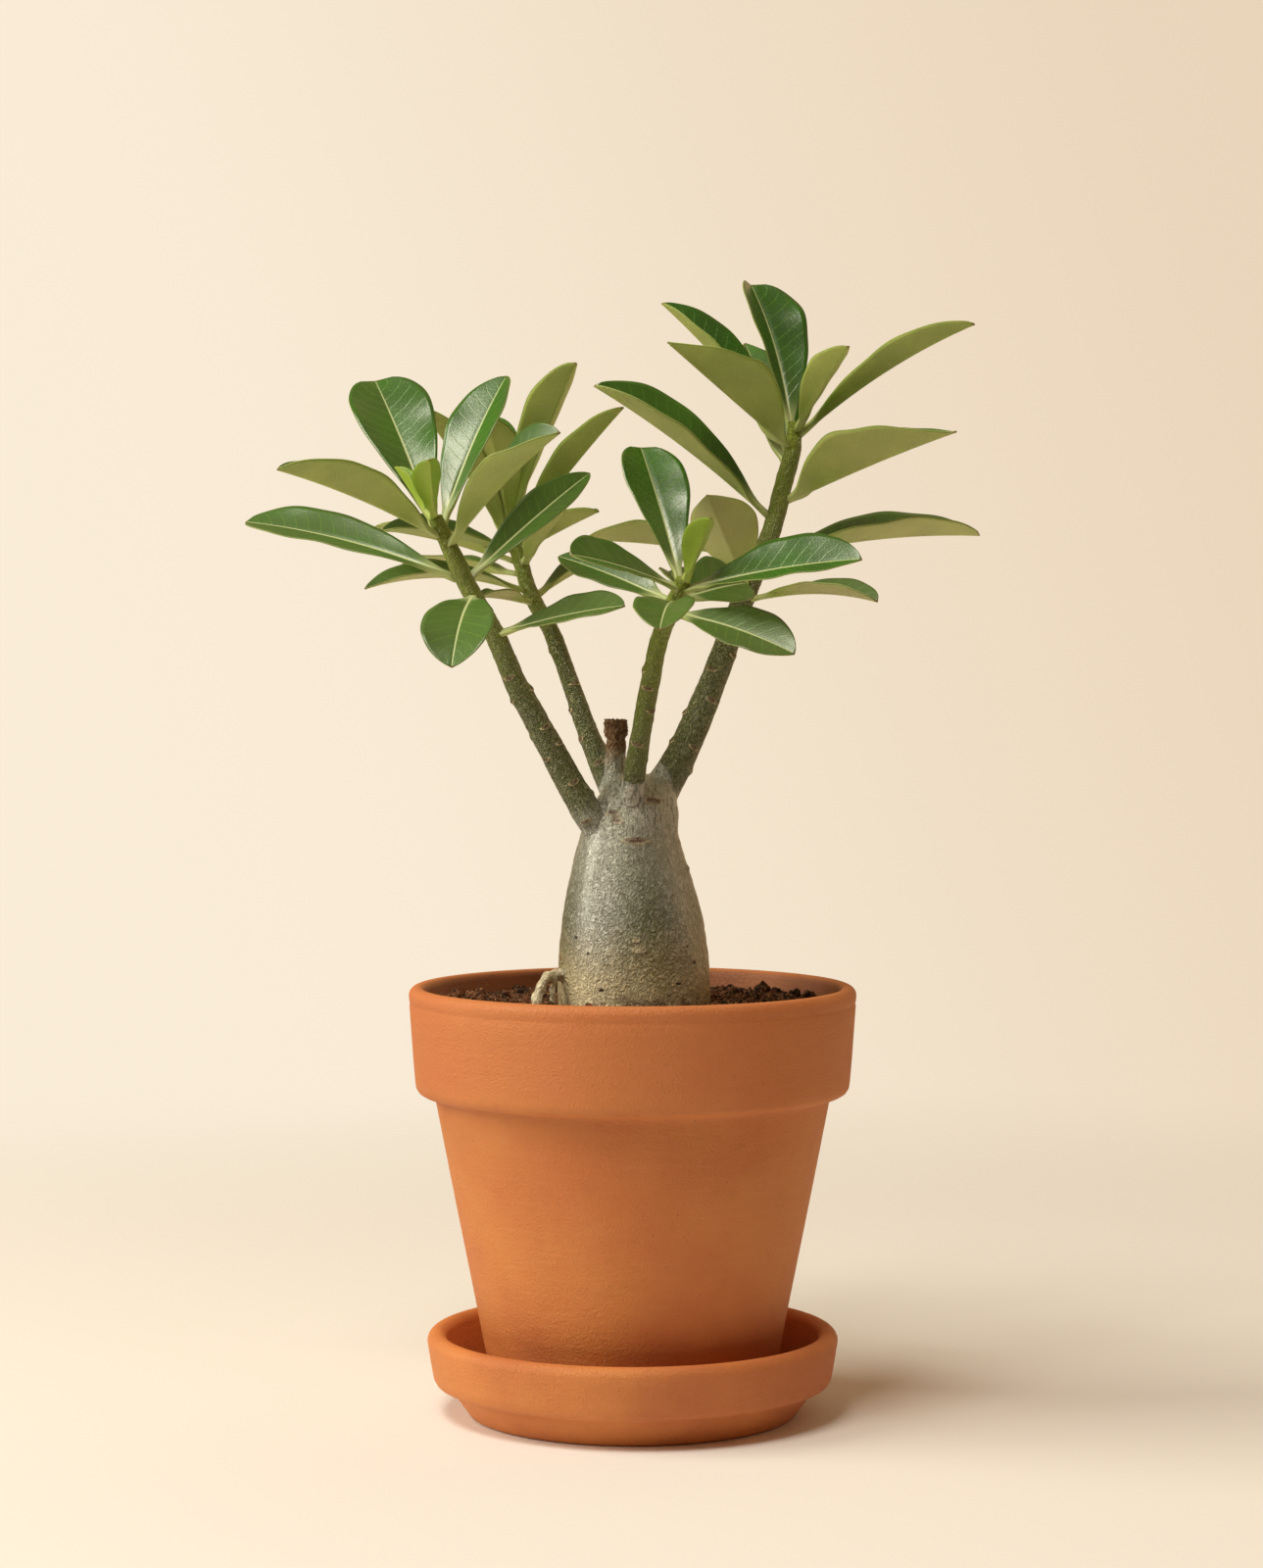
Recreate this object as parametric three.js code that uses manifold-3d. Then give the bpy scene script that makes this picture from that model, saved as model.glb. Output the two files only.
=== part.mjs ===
// A desert rose (Adenium) in a terracotta pot that stands on its saucer.
// Millimetres, +Z up. The origin is the centre of the saucer's underside.
// +X is right, -X is left, -Y is the front and +Y is the back.

import * as THREE from "three";
import { mergeVertices } from "three/addons/utils/BufferGeometryUtils.js";
import Module from "manifold-3d";

const wasm = await Module();
wasm.setup();

// ---------------------------------------------------------------- Driving dimensions

const GAP = 0.3; // between pieces that touch
const ROUND_SEGMENTS = 48; // round the pot and the saucer
const HALF_TURN = Math.PI;
const FULL_TURN = 2 * Math.PI;
const GOLDEN_ANGLE = 137.5; // degrees between one leaf scar and the next

const saucer = {
  baseRadius: 55.5,
  neckRadius: 60.8,
  neckHeight: 8,
  neckFillet: 0.7,
  ledgeRadius: 65,
  ledgeHeight: 10.2,
  lipFootRadius: 67,
  lipFootHeight: 12.5,
  lipRadius: 69,
  lipRounding: 3.3,
  height: 27.8,
  floorHeight: 6.5,
  floorRadius: 55.8,
  innerWallRadius: 58.9,
  innerWallHeight: 9,
};

const pot = {
  bottom: saucer.floorHeight + GAP,
  baseRadius: 46.9,
  neckRadius: 66,
  neckHeight: 105,
  shoulderRadius: 69,
  shoulderHeight: 107.7,
  bandFootRadius: 72.8,
  bandFootHeight: 111.7,
  bandFootFillet: 3,
  lipRadius: 75,
  lipRounding: 2.9,
  height: 143.6,
  floorHeight: 14.8,
  floorRadius: 38,
  floorFillet: 3,
  drainRadius: 6,
  edgeRounding: 1.2,
};

const soil = {
  top: 137.2,
  edgeDrop: 1, // at the pot's wall
  rings: [62, 54, 46, 38, 30, 20], // radii at which the surface rises and falls
  relief: 0.66,
  swellLength: 7,
  rippleLength: [5.3, 4.1], // to the right and to the back
  crumbs: 26,
  crumbRadius: [1.2, 2.9],
  crumbDistance: [36, 62], // from the middle of the pot
  crumbFlatness: 0.8,
  crumbRise: 0.2, // of a crumb's centre over the surface, as a share of its radius
  seed: 7,
};

// The swollen base: [radius, height, shift of its centre to the right]
const caudexProfile = [
  [8, 108, 0],
  [16.5, 112, 0],
  [22.5, 121, 0],
  [25.2, 131, 0],
  [25.7, 140, 0],
  [25.3, 154, -0.2],
  [23.8, 166, -0.7],
  [21.5, 176, -1],
  [18.4, 187, -1.5],
  [16.1, 195, -1.4],
  [14.6, 202, 0.6],
  [12.6, 209, 1.6],
  [8, 215, 1],
];
const CAUDEX_SEGMENTS = 24;
const CAUDEX_STEPS = 16;
const CAUDEX_CROWN = 2; // rise of its middle between the feet of the branches
const caudexLobes = { three: 0.012, five: 0.01, rise: 30 }; // faint, as shares of the radius
const HOLE_CLEARANCE = 0.5; // round the buried foot and the buried root

// Branches, from inside the swollen base to the growing tip: [x, y, z, radius]
const leftBranch = [
  [-4, -3, 186, 5.5],
  [-14.5, -8, 201, 5.3],
  [-21.7, -10, 213.5, 4.8],
  [-32.9, -14, 234.4, 4.2],
  [-38.2, -16, 244, 3.9],
  [-44.8, -19, 260, 3.5],
  [-53.9, -22, 276.6, 3.2],
  [-59.2, -24, 288, 3],
  [-64.6, -26.5, 299.5, 2.5],
];
const backBranch = [
  [-2, 1, 196, 4.6],
  [-7.8, 6, 211, 4.4],
  [-14.1, 10, 226, 3.7],
  [-20.8, 17, 244, 3.1],
  [-27, 25, 260.5, 3],
  [-35.6, 34, 277, 2.9],
  [-39.5, 40, 290, 2.8],
  [-43.4, 45, 303, 2.4],
];
const frontBranch = [
  [-1, -6, 197, 4.4],
  [0, -14, 211.7, 4],
  [2.2, -21, 225, 3.5],
  [5.5, -29, 244, 3.3],
  [9.2, -36, 261, 3.1],
  [14, -41, 272, 3],
  [16.5, -44, 279, 2.5],
];
const rightBranch = [
  [3, 1, 193, 6.5],
  [8.7, 2, 207, 6.3],
  [17.2, 4, 222.6, 5.4],
  [26.5, 8, 244, 4.8],
  [37.2, 12, 272.7, 3.9],
  [46.9, 15, 296, 3.3],
  [51.3, 17, 312.6, 3.2],
  [54.3, 18, 324, 3],
  [55, 19, 333.5, 2.5],
];
// What is left of a fifth branch that was cut off
const cutStub = [
  [-4.5, 2, 206, 4.4],
  [-5.4, 3, 216, 3.7],
  [-5.6, 3, 227, 3.5],
  [-5.6, 3, 233, 3.9],
];
// The root that leaves the base, loops over the soil and goes back into it
const surfaceRoot = [
  [-18, -7, 145, 2.3],
  [-22.5, -10, 147.6, 2],
  [-25.9, -12, 148.4, 1.8],
  [-28, -14, 148, 1.75],
  [-29.6, -15.6, 146.1, 1.75],
  [-30.6, -16.5, 143.6, 1.8],
  [-31.7, -17.5, 140, 1.85],
  [-32.4, -18.2, 131, 1.9],
];
const LIMB_SIDES = 8;
const LIMB_STEPS_PER_SPAN = 2;
const scar = { spacing: 9, first: 16, last: 24, radius: 1.35, stand: 0.75, flatness: 0.6 };

// Leaves, branch by branch from the youngest down. The columns are
// below: how far under the branch's tip the leaf grows, along the branch
// heading: 0 points right, 90 to the back, 180 left and 270 to the front
// rise: how steeply the leaf stalk sets off above the horizontal
// length and width of the leaf laid flat
// bend: how far the leaf curls down on its way from stalk to tip
// roll: turns the upper face towards the leaf's own right-hand side
// twist: the further turn of that kind that the leaf makes on its way to the tip
// fold: how far each half of the blade is raised from flat
// widest: where the leaf is widest, as a share of its length
const leafColumns =
  ["below", "heading", "rise", "length", "width", "bend", "roll", "twist", "fold", "widest"];
const leftLeaves = [
  [-1, 150, 50, 21, 9, 0, 0, 0, 50, 0.6],
  [-1, 268, 42, 26, 12, 5, 25, 0, 35, 0.6],
  [2, 121, 54, 68, 28, 15, -17, 0, 13, 0.72],
  [3, 56, 62, 61, 21, 15, 2, 0, 20, 0.62],
  [4, 219, 23, 63, 22, 12, 0, 0, 42, 0.58],
  [9, 316, 41, 59, 23, 15, 0, 44, 38, 0.62],
  [20, 166, 22, 76, 22, 18, -30, 0, 12, 0.66],
  [23, 40, 38, 63, 15, 10, 36, 0, 20, 0.6],
  [29, 262, -10, 43, 24, 45, 0, 0, 10, 0.62],
  [44, 325, 15, 47, 18, 12, 34, 0, 10, 0.64],
];
const backLeaves = [
  [-1, 270, 60, 22, 7, 0, 0, 0, 50, 0.6],
  [2, 307, 59, 62, 19, 10, 0, 0, 35, 0.64],
  [2, 105, 50, 55, 20, 10, 0, 0, 25, 0.7],
  [6, 262, 49, 50, 17, 10, -15, 0, 22, 0.68],
  [8, 319, 43, 62, 16, 5, 0, 0, 32, 0.6],
  [10, 226, 52, 59, 17, 10, 0, 0, 30, 0.6],
  [13, 205, 14, 46, 17, 15, -20, 0, 25, 0.6],
  [14, 330, 24, 31, 13, 5, 0, 0, 30, 0.62],
  [20, 296, 34, 35, 16, 5, 0, 0, 30, 0.6],
  [16, 162, 20, 52, 15, 15, 0, 0, 30, 0.6],
  [21, 144, 8, 55, 18, 20, 0, 0, 30, 0.6],
  [29, 211, 17, 58, 17, 36, -15, 0, 20, 0.56],
  [31, 42, 31, 44, 13, 25, 0, 0, 30, 0.6],
  [35, 233, 8, 26, 10, 10, 0, 0, 25, 0.6],
];
const frontLeaves = [
  [-1, 296, 48, 25, 12, 0, 0, 0, 38, 0.62],
  [2, 111, 57, 56, 23, 10, 0, 0, 14, 0.72],
  [2, 332, 14, 59, 24, 14, 38, 0, 16, 0.62],
  [3, 222, 19, 42, 19, 15, -38, 0, 14, 0.7],
  [10, 150, 24, 44, 19, 12, -34, 0, 14, 0.56],
  [5, 98, 19, 23, 10, 10, 0, 0, 25, 0.6],
  [8, 264, 4, 46, 20, 30, 0, 0, 15, 0.68],
  [7, 43, 14, 30, 23, 12, 42, 0, 14, 0.56],
  [11, 318, -7, 46, 20, 22, 33, 0, 8, 0.62],
];
const rightLeaves = [
  [2, 108, 72, 60, 26, 25, 17, 0, 24, 0.7],
  [2, 296, 40, 41, 15, 8, 0, 0, 36, 0.6],
  [5, 172, 53, 62, 20, 12, -22, 0, 35, 0.6],
  [3, 340, 39, 69, 16, 20, -14, 0, 32, 0.62],
  [8, 219, 31, 60, 30, 0, 15, -25, 35, 0.5],
  [14, 108, 52, 60, 25, 10, 0, 0, 22, 0.52],
  [26, 337, 23, 62, 31, 7, -15, 25, 40, 0.43],
  [33, 195, 41, 72, 22, 13, -34, 0, 42, 0.62],
  [45, 18, 13, 76, 24, 15, 8, 0, 30, 0.6],
  [50, 181, 13, 55, 22, 14, 0, 0, 30, 0.6],
  [59, 245, 42, 42, 26, 0, 20, 0, 32, 0.5],
  [62, 327, 11, 47, 14, 26, 0, 12, 30, 0.68],
];

const blade = {
  stations: [0, 0.09, 0.22, 0.37, 0.52, 0.67, 0.8, 0.92, 1], // along the leaf
  columns: 4, // across the leaf
  fullness: 0.95,
  stalkHalfWidth: 1.4,
  stalkThickness: 1.7,
  stalkEnd: 0.2,
  tipHalfWidth: 0.5,
  thickness: 0.75,
  ribDepth: 0.7,
};
const STALK_STANDOFF = 1; // from the bark to the middle of the stalk's foot
const CROWN_SPREAD = 1.7; // from the branch's axis to the youngest leaves

const finishes = {
  terracotta: { color: 0xb5673a, roughness: 0.85 },
  soil: { color: 0x3a2a22, roughness: 0.95 },
  bark: { color: 0x8d8f78, roughness: 0.8 },
  leaf: { color: 0x3c6b2a, roughness: 0.4 },
  youngLeaf: { color: 0x86a53c, roughness: 0.5 },
};

// ---------------------------------------------------------------- Shape helpers

const radians = THREE.MathUtils.degToRad;

function material(finish) {
  return new THREE.MeshStandardMaterial({ ...finish, metalness: 0 });
}

function named(name, geometry, finish) {
  const mesh = new THREE.Mesh(geometry, material(finish));
  mesh.name = name;
  return mesh;
}

function toSolid(geometry) {
  const bare = geometry.clone();
  bare.deleteAttribute("normal");
  bare.deleteAttribute("uv");
  const merged = mergeVertices(bare, 1e-3);
  return new wasm.Manifold(
    new wasm.Mesh({
      numProp: 3,
      vertProperties: new Float32Array(merged.attributes.position.array),
      triVerts: new Uint32Array(merged.index.array),
    }),
  );
}

function toGeometry(solid) {
  const mesh = solid.getMesh();
  const geometry = new THREE.BufferGeometry();
  geometry.setAttribute("position", new THREE.BufferAttribute(mesh.vertProperties, 3));
  geometry.setIndex(new THREE.BufferAttribute(mesh.triVerts, 1));
  geometry.computeVertexNormals();
  return geometry;
}

// Moves every vertex of a geometry to the place that the function gives for it.
function reshape(geometry, place) {
  const position = geometry.attributes.position;
  const vertex = new THREE.Vector3();
  for (let i = 0; i < position.count; i++) {
    vertex.fromBufferAttribute(position, i);
    place(vertex);
    position.setXYZ(i, vertex.x, vertex.y, vertex.z);
  }
  return geometry;
}

function turned(profile, segments) {
  return new THREE.LatheGeometry(profile, segments).rotateX(HALF_TURN / 2);
}

function seededRandom(seed) {
  let state = seed;
  return () => {
    state = (state * 1664525 + 1013904223) % 4294967296;
    return state / 4294967296;
  };
}

// ---------------------------------------------------------------- Saucer and pot

function saucerGeometry() {
  const s = saucer;
  const neckCorner = s.neckRadius + s.neckFillet;
  const lipCentre = s.height - s.lipRounding;
  const profile = new THREE.Path()
    .moveTo(0, 0)
    .lineTo(s.baseRadius, 0)
    .lineTo(s.neckRadius, s.neckHeight)
    .quadraticCurveTo(neckCorner, s.ledgeHeight - s.neckFillet, s.ledgeRadius, s.ledgeHeight)
    .quadraticCurveTo(s.lipFootRadius, s.ledgeHeight, s.lipFootRadius, s.lipFootHeight)
    .lineTo(s.lipRadius, lipCentre)
    .absarc(s.lipRadius - s.lipRounding, lipCentre, s.lipRounding, 0, HALF_TURN, false)
    .lineTo(s.innerWallRadius, s.innerWallHeight)
    .quadraticCurveTo(s.innerWallRadius, s.floorHeight, s.floorRadius, s.floorHeight)
    .lineTo(0, s.floorHeight);
  return turned(profile.getPoints(2), ROUND_SEGMENTS);
}

// Radius of the pot's inner wall, which tapers evenly from the lip to the floor
function potInnerRadius(height) {
  const lipInnerRadius = pot.lipRadius - 2 * pot.lipRounding;
  const lipCentre = pot.height - pot.lipRounding;
  const footRadius = pot.floorRadius + pot.floorFillet;
  const share = (height - pot.floorHeight) / (lipCentre - pot.floorHeight);
  return THREE.MathUtils.lerp(footRadius, lipInnerRadius, share);
}

function potGeometry() {
  const p = pot;
  const lipCentre = p.height - p.lipRounding;
  const filletTop = p.floorHeight + p.floorFillet;
  const bandFootCorner = p.bandFootHeight - p.bandFootFillet;
  const profile = new THREE.Path()
    .moveTo(p.drainRadius, p.bottom)
    .lineTo(p.baseRadius - p.edgeRounding, p.bottom)
    .quadraticCurveTo(p.baseRadius, p.bottom, p.baseRadius, p.bottom + p.edgeRounding)
    .lineTo(p.neckRadius, p.neckHeight)
    .quadraticCurveTo(p.neckRadius, p.shoulderHeight, p.shoulderRadius, p.shoulderHeight)
    .quadraticCurveTo(p.bandFootRadius, bandFootCorner, p.bandFootRadius, p.bandFootHeight)
    .lineTo(p.lipRadius, lipCentre)
    .absarc(p.lipRadius - p.lipRounding, lipCentre, p.lipRounding, 0, HALF_TURN, false)
    .lineTo(potInnerRadius(filletTop), filletTop)
    .quadraticCurveTo(potInnerRadius(p.floorHeight), p.floorHeight, p.floorRadius, p.floorHeight)
    .lineTo(p.drainRadius, p.floorHeight)
    .lineTo(p.drainRadius, p.bottom);
  return turned(profile.getPoints(2), ROUND_SEGMENTS);
}

// ---------------------------------------------------------------- Trunk

// A tapering round limb along rows of [x, y, z, radius]; grow widens and lengthens it.
function limb(rows, grow = 0) {
  const curve = new THREE.CatmullRomCurve3(rows.map(([x, y, z]) => new THREE.Vector3(x, y, z)));
  const spans = rows.length - 1;
  const steps = spans * LIMB_STEPS_PER_SPAN;
  const across = new THREE.Vector3(0, 1, 0);
  return reshape(new THREE.CylinderGeometry(1, 1, 1, LIMB_SIDES, steps), (vertex) => {
    const along = THREE.MathUtils.clamp(vertex.y + 0.5, 0, 1);
    const radius = radiusAlong(rows, along) + grow;
    const tangent = curve.getTangent(along);
    const side = new THREE.Vector3().crossVectors(across, tangent).normalize();
    const normal = new THREE.Vector3().crossVectors(side, tangent);
    const overrun = along === 0 ? -grow : along === 1 ? grow : 0;
    const centre = curve.getPoint(along).addScaledVector(tangent, overrun);
    const { x, z } = vertex;
    vertex.copy(centre).addScaledVector(side, x * radius).addScaledVector(normal, z * radius);
  });
}

function radiusAlong(rows, along) {
  const place = along * (rows.length - 1);
  const before = Math.min(Math.floor(place), rows.length - 2);
  return THREE.MathUtils.lerp(rows[before][3], rows[before + 1][3], place - before);
}

function caudexGeometry(grow = 0) {
  const outline = new THREE.SplineCurve(caudexProfile.map(([r, z]) => new THREE.Vector2(r, z)));
  const shift = new THREE.SplineCurve(caudexProfile.map(([, z, x]) => new THREE.Vector2(x, z)));
  const rings = outline.getPoints(CAUDEX_STEPS);
  const centres = shift.getPoints(CAUDEX_STEPS);
  const first = new THREE.Vector2(0, rings[0].y - grow);
  const last = new THREE.Vector2(0, rings[CAUDEX_STEPS].y + CAUDEX_CROWN + grow);
  const profile = [first, ...rings.map(({ x, y }) => new THREE.Vector2(x + grow, y)), last];
  profile[1].y -= grow;
  const geometry = turned(profile, CAUDEX_SEGMENTS);
  return reshape(geometry, (vertex) => {
    const ring = rings.findIndex(({ y }) => y >= vertex.z - 1e-3);
    const centre = centres[ring < 0 ? CAUDEX_STEPS : ring].x;
    const angle = Math.atan2(vertex.y, vertex.x);
    const three = caudexLobes.three * Math.cos(3 * angle + 0.6);
    const five = caudexLobes.five * Math.cos(5 * angle + vertex.z / caudexLobes.rise);
    const swell = 1 + three + five;
    vertex.x = vertex.x * swell + centre;
    vertex.y *= swell;
  });
}

// Leaf scars stand a little proud of the bark and wind up each branch.
function scarGeometries(rows) {
  const curve = new THREE.CatmullRomCurve3(rows.map(([x, y, z]) => new THREE.Vector3(x, y, z)));
  const length = curve.getLength();
  const count = Math.floor((length - scar.first - scar.last) / scar.spacing) + 1;
  return Array.from({ length: count }, (_, index) => {
    const share = (scar.first + index * scar.spacing) / length;
    const tangent = curve.getTangentAt(share);
    const radius = radiusAlong(rows, curve.getUtoTmapping(share));
    const side = new THREE.Vector3(0, 1, 0).cross(tangent).normalize();
    side.applyAxisAngle(tangent, radians(index * GOLDEN_ANGLE));
    const out = radius - scar.radius + scar.stand;
    const place = curve.getPointAt(share).addScaledVector(side, out);
    const turn = new THREE.Quaternion().setFromUnitVectors(new THREE.Vector3(0, 0, 1), tangent);
    return new THREE.IcosahedronGeometry(scar.radius, 0)
      .scale(1, 1, scar.flatness)
      .applyQuaternion(turn)
      .translate(place.x, place.y, place.z);
  });
}

function trunkGeometry() {
  const limbs = [leftBranch, backBranch, frontBranch, rightBranch, cutStub, surfaceRoot];
  const branches = limbs.slice(0, 4);
  const pieces = [
    caudexGeometry(),
    ...limbs.map((rows) => limb(rows)),
    ...branches.flatMap((rows) => scarGeometries(rows)),
  ];
  return toGeometry(pieces.map(toSolid).reduce((whole, piece) => whole.add(piece)));
}

// ---------------------------------------------------------------- Soil

// How far the surface lies above or below its mean height
function soilRelief(x, y) {
  const [lengthRight, lengthBack] = soil.rippleLength;
  const ripple = Math.sin(x / lengthRight + 1) * Math.cos(y / lengthBack);
  const swell = Math.sin((x - y) / soil.swellLength);
  return soil.relief * (ripple + swell);
}

function soilGeometry() {
  const edgeHeight = soil.top - soil.edgeDrop;
  const floor = pot.floorHeight + GAP;
  const chamferTop = floor + pot.floorFillet;
  const profile = new THREE.Path()
    .moveTo(0, floor)
    .lineTo(pot.floorRadius - GAP, floor)
    .lineTo(potInnerRadius(chamferTop) - 2 * GAP, chamferTop)
    .lineTo(potInnerRadius(edgeHeight) - 2 * GAP, edgeHeight);
  soil.rings.forEach((radius) => profile.lineTo(radius, soil.top));
  profile.lineTo(0, soil.top);
  const body = reshape(turned(profile.getPoints(1), ROUND_SEGMENTS / 2), (vertex) => {
    const onSurface = vertex.z > (edgeHeight + soil.top) / 2;
    vertex.z += onSurface ? soilRelief(vertex.x, vertex.y) : 0;
  });
  const random = seededRandom(soil.seed);
  const crumbs = Array.from({ length: soil.crumbs }, () => {
    const angle = FULL_TURN * random();
    const distance = THREE.MathUtils.lerp(...soil.crumbDistance, Math.sqrt(random()));
    const radius = THREE.MathUtils.lerp(...soil.crumbRadius, random());
    const height = soil.top + soil.crumbRise * radius;
    return new THREE.IcosahedronGeometry(radius, 0)
      .rotateX(FULL_TURN * random())
      .rotateY(FULL_TURN * random())
      .scale(1, 1, soil.crumbFlatness)
      .translate(distance * Math.cos(angle), distance * Math.sin(angle), height);
  });
  const filled = [body, ...crumbs].map(toSolid).reduce((whole, piece) => whole.add(piece));
  const holes = [caudexGeometry(HOLE_CLEARANCE), limb(surfaceRoot, HOLE_CLEARANCE)];
  return toGeometry(holes.map(toSolid).reduce((rest, hole) => rest.subtract(hole), filled));
}

// ---------------------------------------------------------------- Leaves

// The blade starts at the origin, runs along +Y and has its upper face towards +Z.
function leafGeometry({ length, width, bend, twist, fold, widest }) {
  const spans = blade.stations.length - 1;
  const grid = new THREE.PlaneGeometry(2, spans, blade.columns, spans);
  const side = grid.attributes.position;
  const foldAngle = radians(fold);
  const curl = radians(bend);
  const power = Math.log(0.5) / Math.log(widest);
  const fullness = blade.fullness / power;
  const upper = [];
  const lower = [];
  for (let i = 0; i < side.count; i++) {
    const share = blade.stations[Math.round(side.getY(i) + spans / 2)];
    const across = side.getX(i);
    const outline = Math.sin(HALF_TURN * share ** power) ** fullness;
    const bare = THREE.MathUtils.lerp(blade.stalkHalfWidth, blade.tipHalfWidth, share);
    const half = Math.max(bare, (width / 2) * outline);
    const leaf = THREE.MathUtils.smoothstep(share, 0, blade.stalkEnd);
    const rib = blade.ribDepth * (1 - Math.abs(across)) * (1 - share) * leaf;
    const thin = blade.thickness / Math.cos(foldAngle * leaf);
    const thickness = THREE.MathUtils.lerp(blade.stalkThickness, thin, leaf) + rib;
    const wide = across * half * Math.cos(foldAngle * leaf);
    const raised = Math.abs(across) * half * Math.sin(foldAngle * leaf);
    const twisted = radians(twist * share);
    const turn = curl * share;
    const arc = curl === 0 ? share * length : (Math.sin(turn) / curl) * length;
    const drop = curl === 0 ? 0 : ((1 - Math.cos(turn)) / curl) * length;
    const place = (height) => {
      const x = wide * Math.cos(twisted) + height * Math.sin(twisted);
      const z = height * Math.cos(twisted) - wide * Math.sin(twisted);
      return [x, arc + z * Math.sin(turn), z * Math.cos(turn) - drop];
    };
    upper.push(...place(raised + thickness / 2));
    lower.push(...place(raised - thickness / 2));
  }
  return closedSheet(grid, upper, lower);
}

// Joins an upper and a lower face, split into triangles alike, along their rim.
function closedSheet(grid, upper, lower) {
  const { widthSegments, heightSegments } = grid.parameters;
  const columns = widthSegments + 1;
  const count = grid.attributes.position.count;
  const faces = Array.from(grid.index.array);
  const index = [...faces];
  for (let i = 0; i < faces.length; i += 3) {
    index.push(faces[i] + count, faces[i + 2] + count, faces[i + 1] + count);
  }
  const rim = [];
  for (let c = 0; c < widthSegments; c++) rim.push(c);
  for (let r = 0; r < heightSegments; r++) rim.push(r * columns + widthSegments);
  for (let c = widthSegments; c > 0; c--) rim.push(heightSegments * columns + c);
  for (let r = heightSegments; r > 0; r--) rim.push(r * columns);
  rim.forEach((from, i) => {
    const to = rim[(i + 1) % rim.length];
    index.push(from, to, to + count, from, to + count, from + count);
  });
  const geometry = new THREE.BufferGeometry();
  geometry.setAttribute("position", new THREE.Float32BufferAttribute([...upper, ...lower], 3));
  geometry.setIndex(index);
  geometry.computeVertexNormals();
  return geometry;
}

// Where on the branch a leaf grows, a little off the bark in the leaf's heading
function stalkFoot(rows, below, heading) {
  const curve = new THREE.CatmullRomCurve3(rows.map(([x, y, z]) => new THREE.Vector3(x, y, z)));
  const share = 1 - Math.max(below, 0) / curve.getLength();
  const tangent = curve.getTangentAt(share);
  const out = new THREE.Vector3(Math.cos(radians(heading)), Math.sin(radians(heading)), 0);
  out.projectOnPlane(tangent).normalize();
  const bark = radiusAlong(rows, curve.getUtoTmapping(share)) + STALK_STANDOFF;
  const foot = curve.getPointAt(share).addScaledVector(out, below < 0 ? CROWN_SPREAD : bark);
  return below < 0 ? foot.addScaledVector(tangent, -below) : foot;
}

function leafMesh(name, rows, values) {
  const leaf = Object.fromEntries(leafColumns.map((column, i) => [column, values[i]]));
  const finish = leaf.below < 0 ? finishes.youngLeaf : finishes.leaf;
  const mesh = named(name, leafGeometry(leaf), finish);
  mesh.position.copy(stalkFoot(rows, leaf.below, leaf.heading));
  mesh.rotation.set(radians(leaf.rise), radians(leaf.roll), radians(leaf.heading - 90), "ZXY");
  return mesh;
}

function crown(prefix, rows, leaves) {
  const group = new THREE.Group();
  leaves.forEach((leaf, index) => {
    const number = String(index + 1).padStart(2, "0");
    group.add(leafMesh(`${prefix}_leaf_${number}`, rows, leaf));
  });
  return group;
}

// ---------------------------------------------------------------- The whole object

const plant = new THREE.Group();
plant.add(
  named("trunk", trunkGeometry(), finishes.bark),
  crown("left", leftBranch, leftLeaves),
  crown("back", backBranch, backLeaves),
  crown("front", frontBranch, frontLeaves),
  crown("right", rightBranch, rightLeaves),
);

const desertRose = new THREE.Group();
desertRose.add(
  named("saucer", saucerGeometry(), finishes.terracotta),
  named("pot", potGeometry(), finishes.terracotta),
  named("soil", soilGeometry(), finishes.soil),
  plant,
);

export default desertRose;
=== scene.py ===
import math
import random

import bpy
import numpy as np
from mathutils import Matrix, Vector
from mathutils.bvhtree import BVHTree


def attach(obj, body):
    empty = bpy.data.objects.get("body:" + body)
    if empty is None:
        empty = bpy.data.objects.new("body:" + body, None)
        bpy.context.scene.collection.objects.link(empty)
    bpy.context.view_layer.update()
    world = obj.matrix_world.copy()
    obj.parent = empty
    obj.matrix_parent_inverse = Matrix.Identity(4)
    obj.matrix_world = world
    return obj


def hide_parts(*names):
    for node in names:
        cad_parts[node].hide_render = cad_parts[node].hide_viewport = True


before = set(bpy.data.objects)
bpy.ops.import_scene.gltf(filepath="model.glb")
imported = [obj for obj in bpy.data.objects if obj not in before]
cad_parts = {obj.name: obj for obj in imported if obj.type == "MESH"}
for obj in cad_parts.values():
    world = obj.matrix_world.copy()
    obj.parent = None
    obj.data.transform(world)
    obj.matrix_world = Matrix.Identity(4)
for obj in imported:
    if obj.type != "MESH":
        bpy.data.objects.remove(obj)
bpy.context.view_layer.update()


# ---------------------------------------------------------------- Saucer
# The saucer is a shallow round dish of unglazed red clay with a thick collar round its lip.
# It was turned on a wheel and fired, and it stands on the floor on its flat base.
# Sizes in the tables of this file are in millimetres.

mm = 0.001
WHEEL_FACETS = 160


def paint(red, green, blue):
    """The colour of a paint chip in 0 to 255, as a shader takes it."""
    return [(c / 255) ** 2.2 for c in (red, green, blue)] + [1]


def rounded(centre, radius, start, end, steps):
    """Rings (radius, height) round a rounded edge, from one direction in degrees to another."""
    angles = [math.radians(start + (end - start) * i / steps) for i in range(steps + 1)]
    return [(centre[0] + radius * math.cos(a), centre[1] + radius * math.sin(a)) for a in angles]


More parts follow.
